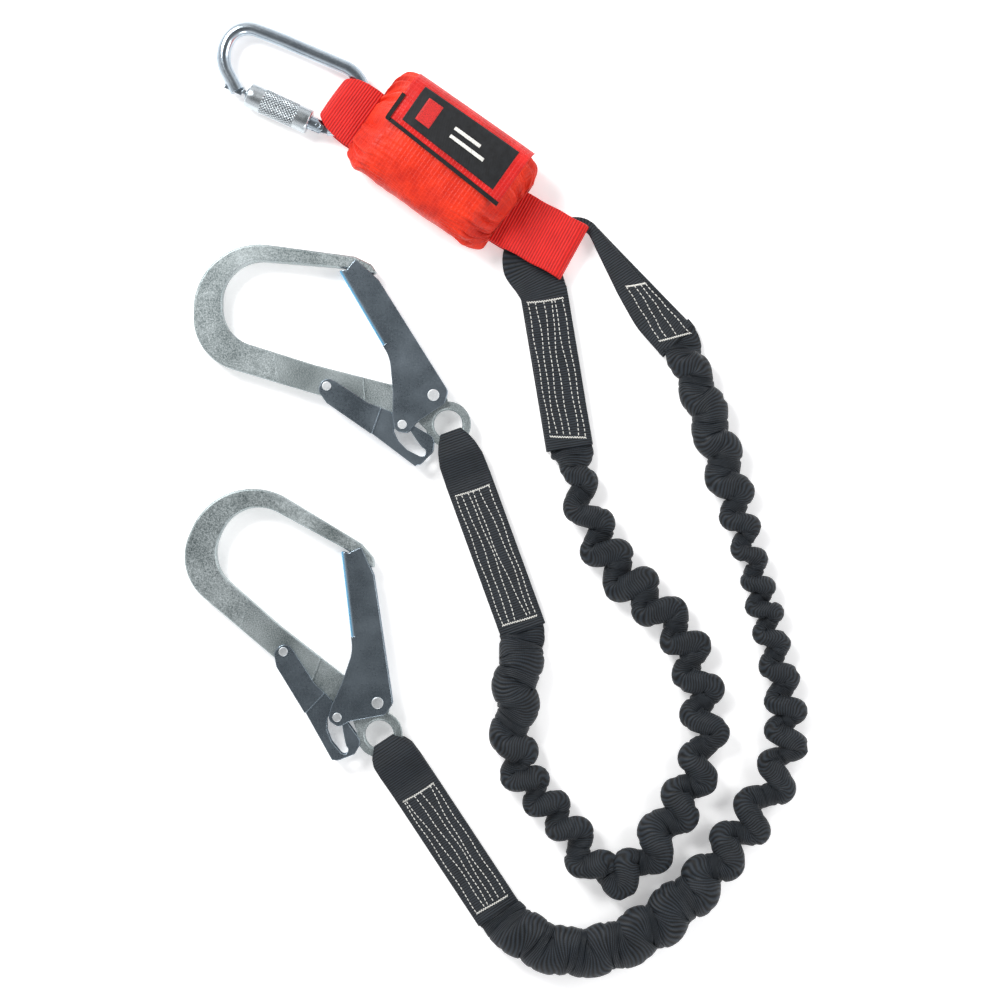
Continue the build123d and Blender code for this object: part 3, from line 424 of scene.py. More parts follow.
def dress(item, finish, body, slot_name, *nodes):
    """Gives a new piece its finish, the body it rides on and the nodes it stands for. Its slot name is not used."""
    item.data.materials.clear()
    item.data.materials.append(finish_for(finish))
    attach(item, body)
    if nodes:
        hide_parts(*nodes)
    return item


# ------------------------------------------------------------------------------ settings
class LanyardSizes(bpy.types.PropertyGroup):
    webbing: bpy.props.FloatProperty(
        name="Webbing thickness", description="One layer of strap webbing", default=2.2 * MM, unit="LENGTH")
    leg_width: bpy.props.FloatProperty(
        name="Leg width", description="Width of the black leg straps", default=35 * MM, unit="LENGTH")
    red_width: bpy.props.FloatProperty(
        name="Absorber strap width", description="Width of the red straps", default=44 * MM, unit="LENGTH")
    thread: bpy.props.FloatProperty(
        name="Thread", description="Radius of the sewing thread", default=0.36 * MM, unit="LENGTH")
    camera_height: bpy.props.FloatProperty(
        name="Camera height", description="Height of the camera over the floor", default=1.8, unit="LENGTH")


class LanyardColours(bpy.types.PropertyGroup):
    # Light tones of the ramps; on the webbing, ripstop and thread they double as the painted highlight on crests and
    # raised yarns.
    red_webbing: bpy.props.FloatVectorProperty(
        name="Red webbing", description="Light tone of the absorber straps", subtype="COLOR", size=4, min=0.0,
        max=1.0, default=linear("ee241c"))
    black_webbing: bpy.props.FloatVectorProperty(
        name="Black webbing", description="Light tone of the leg webbing", subtype="COLOR", size=4, min=0.0,
        max=1.0, default=linear("272f37"))
    ripstop: bpy.props.FloatVectorProperty(
        name="Ripstop", description="Light tone of the pouch cloth", subtype="COLOR", size=4, min=0.0, max=1.0,
        default=linear("ee3510"))
    thread: bpy.props.FloatVectorProperty(
        name="Thread", description="Light tone of the sewing thread", subtype="COLOR", size=4, min=0.0, max=1.0,
        default=linear("f1f0ea"))


# ------------------------------------------------------------------------------ pieces
def pouch_surface():
    """Puffed bag: round it a superellipse, whose half width and half height follow profiles along its
    length that pinch at the elastic near each end, less on the flap's side, open into a frill and close on
    the strap's mouth.
    Pleats deepen towards the ends and a few broad soft dents lie between them."""
    rows, columns = 230, 260
    t = np.linspace(-1.0, 1.0, rows)[:, None]
    a = np.linspace(0, 2 * np.pi, columns, endpoint=False)[None, :]
    end = np.abs(t)
    stations = [0.0, 0.5, 0.68, 0.78, 0.86, 0.92, 0.97, 1.0]
    near = np.interp(end, stations, [1.0, 1.0, 0.99, 0.95, 0.86, 0.79, 0.70, 0.54])
    far = np.interp(end, stations, [1.0, 1.0, 1.0, 1.0, 0.98, 0.95, 0.84, 0.6])
    tall = np.interp(end, stations, [1.0, 0.99, 0.95, 0.86, 0.72, 0.68, 0.6, 0.42])
    near, far, tall = [even_out(values[:, 0], 13)[:, None] for values in (near, far, tall)]
    wide = np.where(np.cos(a) > 0, far, near)
    half_length = 62.5 * MM
    half_w = 41.8 * MM * wide * (1 + 0.015 * np.sin(5 * t + 1))
    half_h = 21.4 * MM * tall
    power = 0.68
    c, s = np.cos(a), np.sin(a)
    round_w = np.sign(c) * np.abs(c) ** power
    round_h = np.sign(s) * np.abs(s) ** power
    pleat_depth = ease((end - 0.62) / 0.24) * 3.1 * MM
    phase = 1.4 * np.sin(3.1 * t + 0.7)
    pleats = np.sin(19 * a + phase) * 0.6 + np.sin(31 * a - 2 * phase + 1.3) * 0.4
    puckers = np.sin(47 * a + 5 * t) * 0.3 * MM * ease((end - 0.3) / 0.3)
    dents = (np.sin(6.5 * t + 2.2 * a) * np.sin(3 * a + 1.9) + 0.6 * np.sin(11 * t - 4 * a)) * 0.45 * MM
    creases = np.sin(38 * t + 3 * np.sin(2 * a)) * 0.14 * MM * (0.5 + 0.5 * np.sin(5 * a + 4 * t))
    offset = pleats * pleat_depth + puckers + dents + creases
    y = round_w * (half_w + offset) - 3.5 * MM * ease((end - 0.6) / 0.4)
    middle = 22.3 * MM - 9.5 * MM * ease((end - 0.7) / 0.3)
    z = np.maximum(round_h * (half_h + offset) + middle, 0.5 * MM)
    frill = (np.sin(9 * a + 2) + np.sin(4 * a)) * 1.2 * MM * np.sign(t) * ease((end - 0.8) / 0.15)
    reach = half_length + 3.5 * MM * (t > 0) * np.clip(np.cos(a) + 0.25, 0, 1)
    along = t * reach + frill * (1 - ease((end - 0.96) / 0.04))
    rings = np.stack([np.broadcast_to(along, y.shape), y, z], axis=-1)
    uv = np.stack([np.broadcast_to(t * half_length, y.shape), np.broadcast_to(a * 36 * MM, y.shape)], axis=-1)
    return place(rings, (0, 0), POUCH_TURN), uv


def flap_sheet(name, x_low, x_high, reach_low, reach_high, lift, thickness, wave):
    """Cloth over the pouch's shoulder: down its side from the far edge, round the shoulder's arc and
    flat along the top, its height a little wavy, between two distances measured from the free edge, which
    runs out a little further towards the legs."""
    rows, columns = 60, 90
    shoulder, side, top = 16 * MM, 41.5 * MM, 44 * MM
    u = np.linspace(x_low, x_high, columns)[None, :]
    r = np.linspace(reach_low, reach_high, rows)[:, None]
    flat_end = side - shoulder
    arc = (r - flat_end) / (shoulder + lift)
    over = np.clip(arc, 0, np.pi / 2)
    y = np.where(r < flat_end, r, flat_end + np.sin(over) * (shoulder + lift))
    fall = np.maximum(arc - np.pi / 2, 0) * (shoulder + lift)
    z = np.where(r < flat_end, top + lift, top - shoulder + np.cos(over) * (shoulder + lift)) - fall
    ripple = wave * (np.sin(u * 95 + 0.4) * 0.6 + np.sin(u * 41 + r * 60)) * ease((flat_end + 8 * MM - r) / (20 * MM))
    z = z + ripple
    y = y - 0.06 * (u + 48 * MM) * np.clip(1 - r / (34 * MM), 0, 1)
    ends = np.abs(u - (x_low + x_high) / 2) / ((x_high - x_low) / 2)
    z = z - 1.2 * MM * ease((ends - 0.75) / 0.25) * (wave > 0)
    y = np.broadcast_to(y, z.shape)
    points = place(np.stack([np.broadcast_to(u, z.shape), y, z], axis=-1), (0, 0), POUCH_TURN)
    uv = np.stack([np.broadcast_to(u, z.shape), np.broadcast_to(r, z.shape)], axis=-1).reshape(-1, 2)
    item = mesh_object(name, points.reshape(-1, 3), [grid_faces(rows, columns, False)[:, ::-1]], uv)
    solid = item.modifiers.new("wall", "SOLIDIFY")
    solid.thickness = thickness
    solid.offset = 1.0
    return item


class LANYARD_OT_pouch(bpy.types.Operator):
    """Sews the energy absorber's pouch: a puffed bag of ripstop, pleated at both mouths"""
    bl_idname = "lanyard.pouch"
    bl_label = "Pouch"

    def execute(self, context):
        rings, uv = pouch_surface()
        bag = closed_tube("absorber_pouch", rings, uv)
        dress(bag, "red ripstop nylon", "root", "red_ripstop", "pouch_shell", "pouch_end_bands")
        tape = flap_sheet("loop_tape_strip", -42 * MM, 46 * MM, 6 * MM, 22 * MM, -1.4 * MM, 1.9 * MM, 0.0)
        dress(tape, "black fastener tape", "root", "fastener_tape", "loop_tape")
        return {"FINISHED"}


class LANYARD_OT_flap(bpy.types.Operator):
    """Makes the pouch's flap with its binding, its black patch and the plain marks sewn on it"""
    bl_idname = "lanyard.flap"
    bl_label = "Flap"

    def execute(self, context):
        low, high = -48, 55
        layers = (  # name, span along the pouch, span from the free edge, lift, thickness and waviness in mm
            ("flap_cloth", low, high, 2.2, 52, 1.5, 1.0, 0.28, "red coated flap cloth", "red_ripstop", "flap"),
            ("flap_long_binding", low - 1, high, -0.6, 3.6, 1.3, 1.9, 0.28, "black binding tape", "black_binding",
             "flap_binding"),
            ("flap_short_binding", low - 1.2, low + 2, 0.2, 22, 1.3, 1.5, 0, "black binding tape", "black_binding"),
            ("label_patch_cloth", -38, 46, 6, 36, 2.6, 0.7, 0.28, "black damask label", "black_label", "label_patch"),
            ("patch_red_block", -31, -17, 12, 30, 3.3, 0.25, 0.28, "red bonded thread", "red_ripstop"),
            ("patch_white_bar_0", -4, 30, 16, 18.4, 3.3, 0.25, 0.28, "white bonded thread", "white_thread"),
            ("patch_white_bar_1", -4, 22, 22, 24.4, 3.3, 0.25, 0.28, "white bonded thread", "white_thread"),
            ("hook_tape_strip", -42, 46, 6, 22, 0.85, 0.55, 0.28, "black fastener tape", "fastener_tape", "hook_tape"))
        made = {}
        for name, *row in layers:
            made[name] = flap_sheet(name, *[value * MM for value in row[:7]])
            finish, slot_name, *nodes = row[7:]
            dress(made[name], finish, "flap", slot_name, *nodes)
        return {"FINISHED"}


def upright_loop(fold, tail, low, high, origin, turn):
    """Line of a folded strap: back along the bottom, round the fold and forward along the top, as its x, its
    height, its placed points and the directions across it."""
    radius = (high - low) / 2
    bend = np.linspace(-np.pi / 2, np.pi / 2, 24)
    bottom = np.linspace(tail, fold - radius, 40)
    x = np.concatenate([bottom, fold - radius + np.cos(bend) * radius, bottom[::-1]])
    z = np.concatenate([np.full(40, low), (low + high) / 2 + np.sin(bend) * radius, np.full(40, high)])
    line = place(np.stack([x, np.zeros_like(x), z], axis=-1), origin, turn)
    return x, z, line, place(np.tile([0.0, 1.0, 0.0], (len(x), 1)), (0, 0), turn)


class LANYARD_OT_red_loops(bpy.types.Operator):
    """Makes the two red absorber straps, folded round the karabiner and round the leg webbing"""
    bl_idname = "lanyard.red_loops"
    bl_label = "Red loops"

    def execute(self, context):
        sizes = context.scene.lanyard_sizes
        x, z, line, across = upright_loop(
            -1.6 * MM, -47 * MM, 3.0 * MM, 16.8 * MM, KARABINER_CENTRE, KARABINER_LOOP_TURN)
        stations = np.array([1, 3, 6, 11, 18, 28, 47]) * MM
        widths = np.interp(-x, stations, np.array([30, 35, 39, 43.5, 46.5, 47.5, 45]) * MM)
        line[:, 2] += 1.2 * MM * np.sin(np.clip(-x / (40 * MM), 0, 1) * np.pi) * (z > 10 * MM)
        loop = band("karabiner_webbing_loop", line, across, widths, sizes.webbing, -0.03)
        dress(loop, "red polyester webbing", "root", "red_webbing", "karabiner_loop")
        x, z, line, across = upright_loop(
            51.0 * MM, -18 * MM, 4.5 * MM, 14.8 * MM, LEG_LOOP_START, LEG_LOOP_TURN)
        line[:, 2] += 0.5 * MM * np.sin(x * 190) * (z > 12 * MM)
        widths = sizes.red_width * (1.02 + 0.012 * np.sin(x * 260 + 1))
        loop = band("leg_webbing_loop", line, across, widths, sizes.webbing)
        dress(loop, "red polyester webbing", "root", "red_webbing", "leg_loop")
        return {"FINISHED"}


def sewn_lines(corners, height, lines, seed):
    """Stitches of a sewn box. A close zigzag bar runs across each end. Between them each line of dashes
    goes from its place at one end to another at the far end, with a slow and a quick wander added."""
    a, b, c, d = [np.array(p, float) for p in corners]
    generator = np.random.default_rng(seed)
    length = np.linalg.norm(d - a)

    def at(u, v):
        """Point at shares u across and v along the box."""
        u, v = np.broadcast_arrays(np.asarray(u, float), np.asarray(v, float))
        left = a + (d - a) * v[..., None]
        right = b + (c - b) * v[..., None]
        flat = left + (right - left) * u[..., None]
        return np.concatenate([flat, np.full(flat.shape[:-1] + (1,), height)], axis=-1)

    bar_u = np.linspace(0.11, 0.89, 30)
    bar_zig = (np.arange(30) % 2 - 0.5) * 1.5 * MM / length
    bars = [at(bar_u, v + bar_zig + 0.006 * np.sin(4 * bar_u + v)) for v in (0.07, 0.93)]
    starts = [bar[:-1] for bar in bars]
    ends = [bar[1:] for bar in bars]
    pitch, dash = 3.3 * MM, 2.3 * MM
    v0 = np.arange(0.075 * length, 0.925 * length - dash, pitch) / length
    v1 = v0 + dash / length
    for line in range(lines):
        middle = 0.13 + 0.74 * line / (lines - 1)
        free = 0.0 if line in (0, lines - 1) else 1.0
        lean = generator.uniform(-0.1, 0.1) * free
        slow, quick = generator.uniform(0, 2 * np.pi, 2)

        def across(v):
            """Share across at a share along for this line."""
            wander = 0.035 * free * np.sin(5.5 * v + slow) + 0.011 * np.sin(19 * v + quick)
            return np.clip(middle + lean * (2 * v - 1) + wander, 0.1, 0.9)

        starts.append(at(across(v0), v0))
        ends.append(at(across(v1), v1))
    return np.concatenate(starts), np.concatenate(ends)


def box_strap(name, corners, height, thickness, droop):
    """One flat layer of webbing between four corners, slightly wavy along its length."""
    a, b, c, d = [np.array(p, float) for p in corners]
    count = 70
    v = np.linspace(0, 1, count)[:, None]
    left, right = a + (d - a) * v, b + (c - b) * v
    middle = (left + right) / 2
    z = height + droop * np.sin(v * 9 + height * 4000)
    line = np.concatenate([middle, z], axis=1)
    across = np.concatenate([left - right, np.zeros((count, 1))], axis=1)
    widths = np.linalg.norm(left - right, axis=1)
    return band(name, line, across, widths, thickness)


class LANYARD_OT_absorber_straps(bpy.types.Operator):
    """Makes the legs' sewn straps at the absorber end and the webbing that joins them in the red loop"""
    bl_idname = "lanyard.absorber_straps"
    bl_label = "Absorber-end straps"

    def execute(self, context):
        sizes = context.scene.lanyard_sizes
        t = sizes.webbing
        for leg, corners, lines in (("a", LEG_A_BOX, 6), ("b", LEG_B_BOX, 4)):
            for layer in range(2):
                height = (1.7 + 2.75 * layer) * MM
                item = box_strap(f"leg_{leg}_absorber_strap_layer_{layer}", corners, height, t, 0.15 * MM)
                nodes = [f"leg_{leg}_absorber_strap"] if layer == 0 else []
                dress(item, "black polyester webbing", "root", "black_webbing", *nodes)
            sewn = corners
            if leg == "b":
                a, b, c, d = [np.array(p) for p in corners]
                sewn = [a + (d - a) * 0.45, b + (c - b) * 0.45, c, d]
            starts, ends = sewn_lines(sewn, STACK_TOP - 0.05 * MM, lines, 3 if leg == "a" else 5)
            item = stitches(f"leg_{leg}_absorber_thread", starts, ends, sizes.thread)
            dress(item, "white bonded thread", "root", "white_thread", f"leg_{leg}_absorber_stitching")
        table = np.array([
            (96.1, -213.7, 34.5), (91.2, -183.0, 34.5), (86.2, -152.0, 34.5), (81.2, -122.0, 34.5), (76.6, -97.0, 35.5),
            (71.5, -86.0, 38.0), (65.5, -77.0, 41.0), (64.0, -68.0, 38.0), (71.0, -60.5, 32.0), (83.0, -54.5, 26.0),
            (95.0, -50.0, 19.0), (103.5, -46.5, 13.0), (109.5, -46.5, 9.5), (113.5, -50.5, 8.5), (117.5, -57.5, 10.0),
            (126.0, -70.5, 14.0), (141.0, -93.5, 21.0), (157.0, -115.5, 27.5), (177.0, -133.8, 33.0)])
        rough_line = np.column_stack([table[:, :2] * MM, np.full(len(table), 7.3 * MM)])
        line, run = resample(rough_line, 1.5 * MM)
        widths = np.interp(run, distances(rough_line), table[:, 2] * MM)
        line = smooth(line, 16)
        line[:, 2] += 0.15 * MM * np.sin(run * 180)
        across = np.cross(np.array([0.0, 0.0, 1.0]), tangents(line))
        item = band("joining_webbing", line, across, widths, t)
        dress(item, "black polyester webbing", "root", "black_webbing", "yoke_strap")
        return {"FINISHED"}


class LANYARD_OT_hook_straps(bpy.types.Operator):
    """Makes the sewn straps at the hooks, each bunched where it passes through the eye"""
    bl_idname = "lanyard.hook_straps"
    bl_label = "Hook-end straps"

    def execute(self, context):
        sizes = context.scene.lanyard_sizes
        t = sizes.webbing
        for leg in ("a", "b"):
            length = HOOK_STRAP_LENGTHS[leg]
            low, high = 4.0 * MM, 14.8 * MM
            points = np.array([
                (length, 1.6 * MM), (60 * MM, 1.6 * MM), (42 * MM, 1.7 * MM), (24 * MM, 3.3 * MM), (10 * MM, low),
                (6.9 * MM, low + 0.8 * MM), (5.9 * MM, 9.4 * MM), (6.9 * MM, high - 0.8 * MM), (10 * MM, high),
                (22 * MM, high - 0.6 * MM), (42 * MM, 8.0 * MM), (60 * MM, 7.3 * MM), (length, 7.2 * MM)])
            local = np.stack([points[:, 0], np.zeros(len(points)), points[:, 1]], axis=-1)
            line = smooth(resample(local, 1.2 * MM)[0], 6)
            reach = line[:, 0]
            bunch = [16, 19, 24, 29, 34] if leg == "a" else [16, 21, 29, 34, 35]
            bunch = np.append(np.array(bunch) * MM, sizes.leg_width)
            widths = np.interp(reach, np.array([5, 8, 12, 18, 28, 44]) * MM, bunch)
            turn, eye = HOOK_STRAP_TURNS[leg], HOOK_EYES[leg]
            across = place(np.tile([0.0, 1.0, 0.0], (len(line), 1)), (0, 0), turn)
            strap = band(f"leg_{leg}_hook_strap_webbing", place(line, eye, turn), across, widths, t)
            dress(strap, "black polyester webbing", "root", "black_webbing", f"leg_{leg}_hook_strap")
            middle = np.array([(length, 0, 4.4 * MM), (44 * MM, 0, 4.4 * MM)])
            inner = resample(middle, 2 * MM)[0]
            item = band(f"leg_{leg}_hook_strap_middle", place(inner, eye, turn), across[:len(inner)],
                        sizes.leg_width - 0.6 * MM, t)
            dress(item, "black polyester webbing", "root", "black_webbing")
            half = sizes.leg_width / 2
            corners = [(44 * MM, half), (44 * MM, -half), (length, -half), (length, half)]
            placed = [tuple(place([x, y, 0], eye, turn)[:2]) for x, y in corners]
            starts, ends = sewn_lines(placed, STACK_TOP, 6, 7 if leg == "a" else 8)
            item = stitches(f"leg_{leg}_hook_thread", starts, ends, sizes.thread)
            dress(item, "white bonded thread", "root", "white_thread", f"leg_{leg}_hook_stitching")
        return {"FINISHED"}


def route_line(name, route):
    """Evenly spaced points read from the route's own smooth curve, an order 3 NURBS spline."""
    curve = bpy.data.curves.new(name, "CURVE")
    curve.dimensions = "3D"
    curve.resolution_u = 24
    spline = curve.splines.new("NURBS")
    spline.points.add(len(route) - 1)
    heights = np.interp(np.arange(len(route)), [0, 1, 2], np.array([7.5, 11.0, 15.2]) * MM)
    heights = np.minimum(heights, heights[::-1])
    for point, (x, y), z in zip(spline.points, route, heights):
        point.co = (x, y, z, 1.0)
    spline.order_u = 3
    spline.use_endpoint_u = True
    item = bpy.data.objects.new(name, curve)
    bpy.context.collection.objects.link(item)
    mesh = bpy.data.meshes.new_from_object(item)
    points = np.empty(len(mesh.vertices) * 3, dtype=np.float32)
    mesh.vertices.foreach_get("co", points)
    bpy.data.objects.remove(item)
    return points.reshape(-1, 3).astype(float)


# How each leg is gathered: distance from the absorber end, width, sideways sway and lobe pitch, all in mm.
LEG_A_GATHER = [
    (0, 34, 0, 30), (14, 34, 0.5, 30), (24, 17, 3.0, 30), (38, 22, 8.5, 32), (60, 20, 9.5, 31), (95, 24, 8.5, 30),
    (130, 25, 8.5, 30), (165, 22, 8.5, 30), (205, 24, 8.0, 32), (250, 23, 8.5, 32), (290, 26, 7.5, 32),
    (325, 30, 5.0, 36), (350, 25, 8.0, 31), (385, 24, 8.0, 30), (420, 22, 8.0, 28), (450, 19, 7.5, 25),
    (475, 21, 7.5, 26), (500, 28, 6.0, 31), (525, 33, 3.5, 34), (555, 35, 1.8, 34), (588, 35, 0.0, 34)]
LEG_B_GATHER = [
    (0, 33, 0.5, 30), (14, 30, 2.5, 26), (28, 24, 4.0, 26), (44, 29, 2.8, 34), (75, 29, 3.2, 34), (110, 28, 4.5, 34),
    (135, 22, 7.0, 28), (155, 17, 7.5, 24), (185, 15, 7.0, 20), (225, 16, 6.8, 22), (255, 20, 7.0, 25),
    (290, 20, 8.0, 27), (320, 19, 9.0, 30), (345, 23, 9.5, 33), (385, 23, 8.5, 32), (415, 29, 6.0, 32),
    (440, 36, 3.0, 32), (490, 38, 2.2, 32), (540, 38, 2.0, 30), (590, 38, 1.2, 30), (610, 36, 0.0, 30)]


def gathered_tube(name, route, leads, gather, seed):
    """Gathered webbing tube. Its middle sways about the route as a sine of a phase that runs on by the
    lobe pitch, and rests on the floor. The section is a flat oval that tips over from lobe to lobe, with
    deep creases across it, each a narrow dip whose depth turns round the oval, and soft swells between.
    At each end it first runs on a little way under the sewn strap, in that strap's own direction."""
    centre = route_line(name + "_route", route)
    ends = [centre[i] + np.array([math.cos(lead), math.sin(lead), 0.0]) * 8 * MM for i, lead in zip((0, -1), leads)]
    centre = resample(np.vstack([ends[0], centre, ends[1]]), 0.62 * MM)[0]
    centre, run = resample(smooth(centre, 60), 0.62 * MM)
    total = run[-1]
    table = np.array(gather, float)
    share = run / total * table[-1, 0]
    wide, sway, pitch = [np.interp(share, table[:, 0], table[:, column]) * MM for column in (1, 2, 3)]
    wide, sway, pitch = [even_out(values, 23) for values in (wide, sway, pitch)]
    generator = np.random.default_rng(seed)
    knots = np.arange(0, total + 0.03, 0.024)
    drift = np.interp(run, knots, generator.uniform(-0.75, 0.75, len(knots)))
    uneven = np.interp(run, knots, generator.uniform(0.82, 1.14, len(knots)))
    drift, uneven = even_out(drift, 41), even_out(uneven, 41)
    phase = np.cumsum(np.gradient(run) / pitch) * 2 * np.pi + drift
    half_w = wide / 2 * (0.95 - 0.1 * np.clip((sway - 3 * MM) / (4 * MM), 0, 1))
    half_h = np.clip(half_w * 0.66, 6.5 * MM, 11.5 * MM)
    inside = np.minimum(ease((run - 6 * MM) / (22 * MM)), ease((total - run - 6 * MM) / (26 * MM)))
    half_h = half_h * (0.31 + 0.69 * inside)
    forward = tangents(centre)
    up = np.tile([0.0, 0.0, 1.0], (len(run), 1))
    side = unit(np.cross(up, forward))
    swing = np.sin(phase + 0.35 * np.sin(phase))
    path = centre + side * (sway * uneven * swing)[:, None]
    path[:, 2] = 0.9 * MM + half_h + 0.35 * sway * (1 + np.cos(phase))
    forward = tangents(path)
    side = unit(np.cross(up, forward))
    top = np.cross(forward, side)
    angle = np.linspace(0, 2 * np.pi, 60, endpoint=False)[None, :]
    turned = phase[:, None]
    crease_phase = np.cumsum(np.gradient(run) / (pitch * 0.27)) * 2 * np.pi
    wander = 1.1 * np.sin(angle + 0.5 * turned) + 0.7 * np.sin(2 * angle - 0.31 * turned)
    wave = np.cos(crease_phase[:, None] + wander)
    dip = -1.5 * MM * np.clip((wave - 0.55) / 0.45, 0, 1) ** 1.5
    swell = 0.45 * MM * np.sin(crease_phase[:, None] * 0.53 + 2 * angle + 1.7)
    strength = 0.35 + 0.65 * (0.5 + 0.5 * np.cos(angle * 2 + 0.9 * turned))
    relief = (dip * strength + swell) * np.minimum(ease(run / (14 * MM)), ease((total - run) / (14 * MM)))[:, None]
    power = 0.86
    u = np.sign(np.cos(angle)) * np.abs(np.cos(angle)) ** power * half_w[:, None] + np.cos(angle) * relief
    v = np.sign(np.sin(angle)) * np.abs(np.sin(angle)) ** power * half_h[:, None] + np.sin(angle) * relief
    lean = 0.5 * np.clip(sway / (6 * MM), 0, 1)[:, None] * np.cos(turned)
    across = u * np.cos(lean) - v * np.sin(lean)
    rise = u * np.sin(lean) + v * np.cos(lean)
    rings = path[:, None, :] + side[:, None, :] * across[..., None] + top[:, None, :] * rise[..., None]
    rings[..., 2] = np.maximum(rings[..., 2], 0.5 * MM)
    slant = 1.6 * MM * np.sin(angle + 0.5 * turned) + 0.9 * MM * np.sin(3 * angle + 0.7 * turned)
    uv = np.stack([distances(path)[:, None] + slant, np.broadcast_to(angle * 12 * MM, across.shape)], axis=-1)
    return closed_tube(name, rings, uv), centre[::8], total


class LANYARD_OT_elastic_legs(bpy.types.Operator):
    """Makes the two gathered elastic legs, ribbed tubes of webbing that wander about their routes"""
    bl_idname = "lanyard.elastic_legs"
    bl_label = "Elastic legs"

    def execute(self, context):
        for leg, route, box, gather, seed in (
                ("a", LEG_A_ROUTE, LEG_A_BOX, LEG_A_GATHER, 4), ("b", LEG_B_ROUTE, LEG_B_BOX, LEG_B_GATHER, 9)):
            name = f"leg_{leg}_gathered_webbing"
            start, finish = np.array(box[:2]).mean(axis=0), np.array(box[2:]).mean(axis=0)
            leads = (math.atan2(*(start - finish)[::-1]), math.radians(HOOK_STRAP_TURNS[leg] + 180))
            tube, path, total = gathered_tube(name, route, leads, gather, seed)
            dress(tube, "black elasticated webbing", "root", "black_webbing",
                  f"leg_{leg}_elastic_webbing", f"leg_{leg}_elastic_core")
        return {"FINISHED"}


class LANYARD_OT_sleeve(bpy.types.Operator):
    """Turns the karabiner's locking sleeve, with its diamond knurl cut as real relief"""
    bl_idname = "lanyard.sleeve"
    bl_label = "Locking sleeve"

    def execute(self, context):
        radius, bore, length = 9.4 * MM, 5.5 * MM, 50 * MM
        first_band, last_band = [0.0, 0.25, 0.8, 4, 8, 10.4, 10.8], [38.2, 38.6, 41, 45, 49.2, 49.75, 50]
        outer_x = np.concatenate([first_band, np.linspace(11.2, 37.8, 118), last_band]) * MM
        outer_r = np.full(len(outer_x), radius)
        outer_r[[0, -1]] = radius - 0.8 * MM
        outer_r[[1, -2]] = radius - 0.35 * MM
        columns = 240
        turn = np.linspace(0, 2 * np.pi, columns, endpoint=False)[None, :]
        pitch = 2 * np.pi * radius / 22
        first = np.abs(((outer_x[:, None] + turn * radius) / pitch) % 1 - 0.5)
        second = np.abs(((outer_x[:, None] - turn * radius) / pitch) % 1 - 0.5)
        inside = ((outer_x > 11 * MM) & (outer_x < 38 * MM))[:, None]
        relief = np.where(inside, -0.75 * MM * (1 - 2 * np.minimum(first, second)) ** 1.6 + 0.15 * MM, 0.0)
        outer = np.broadcast_to(outer_r[:, None], relief.shape) + relief
        x = np.concatenate([outer_x, [length, 0.0]])
        r = np.vstack([outer, np.full((2, columns), bore)])
        along = np.broadcast_to(x[:, None] + SLEEVE_START, r.shape)
        local = np.stack([along, GATE_LINE + r * np.cos(turn), r * np.sin(turn)], axis=-1)
        rows = len(x)
        placed = place(local, KARABINER_CENTRE, KARABINER_TURN, BAR_HEIGHT)
        j = np.arange(columns)
        k = (j + 1) % columns
        base = (rows - 1) * columns
        closing = np.stack([base + j, base + k, k, j], axis=-1)
        faces = [grid_faces(rows, columns, True), closing]
        item = mesh_object("knurled_sleeve", placed.reshape(-1, 3), faces, closed=True)
        item.data.set_sharp_from_angle(angle=math.radians(38))
        # the knurl's groove depth, kept on the points for the painted shade in the grooves
        depth = np.vstack([np.clip(-relief / (0.6 * MM), 0, 1), np.zeros((2, columns))])
        groove = item.data.attributes.new("groove", "FLOAT", "POINT")
        groove.data.foreach_set("value", depth.astype(np.float32).ravel())
        dress(item, "satin zinc sleeve", "karabiner_sleeve", "knurled_steel", "karabiner_sleeve")
        return {"FINISHED"}


class LANYARD_OT_metalwork(bpy.types.Operator):
    """Gives the frame's own metal and hidden pieces their finishes"""
    bl_idname = "lanyard.metalwork"
    bl_label = "Metalwork"

    def execute(self, context):
        by_ending = (
            ("_body", "zinc-plated forging"), ("_gate_rivet", "bright rivet"), ("_lever_rivet", "bright rivet"),
            ("_link_pin", "bright rivet"), ("_washers", "bright rivet"), ("_spring", "spring wire"),
            ("_lever", "blue-passivated zinc sheet"), ("hook_a_gate", "blue-passivated zinc sheet"),
            ("hook_b_gate", "blue-passivated zinc sheet"), ("label_pack", "white bonded thread"),
            ("tear_webbing_pack", "white bonded thread"))
        for name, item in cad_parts.items():
            finish = next((value for ending, value in by_ending if name.endswith(ending)), None)
            if finish is None and name.startswith("karabiner_"):
                finish = "bright zinc-plated bar"
            if finish is None:
                continue
            item.data.materials.clear()
            item.data.materials.append(finish_for(finish))
        return {"FINISHED"}


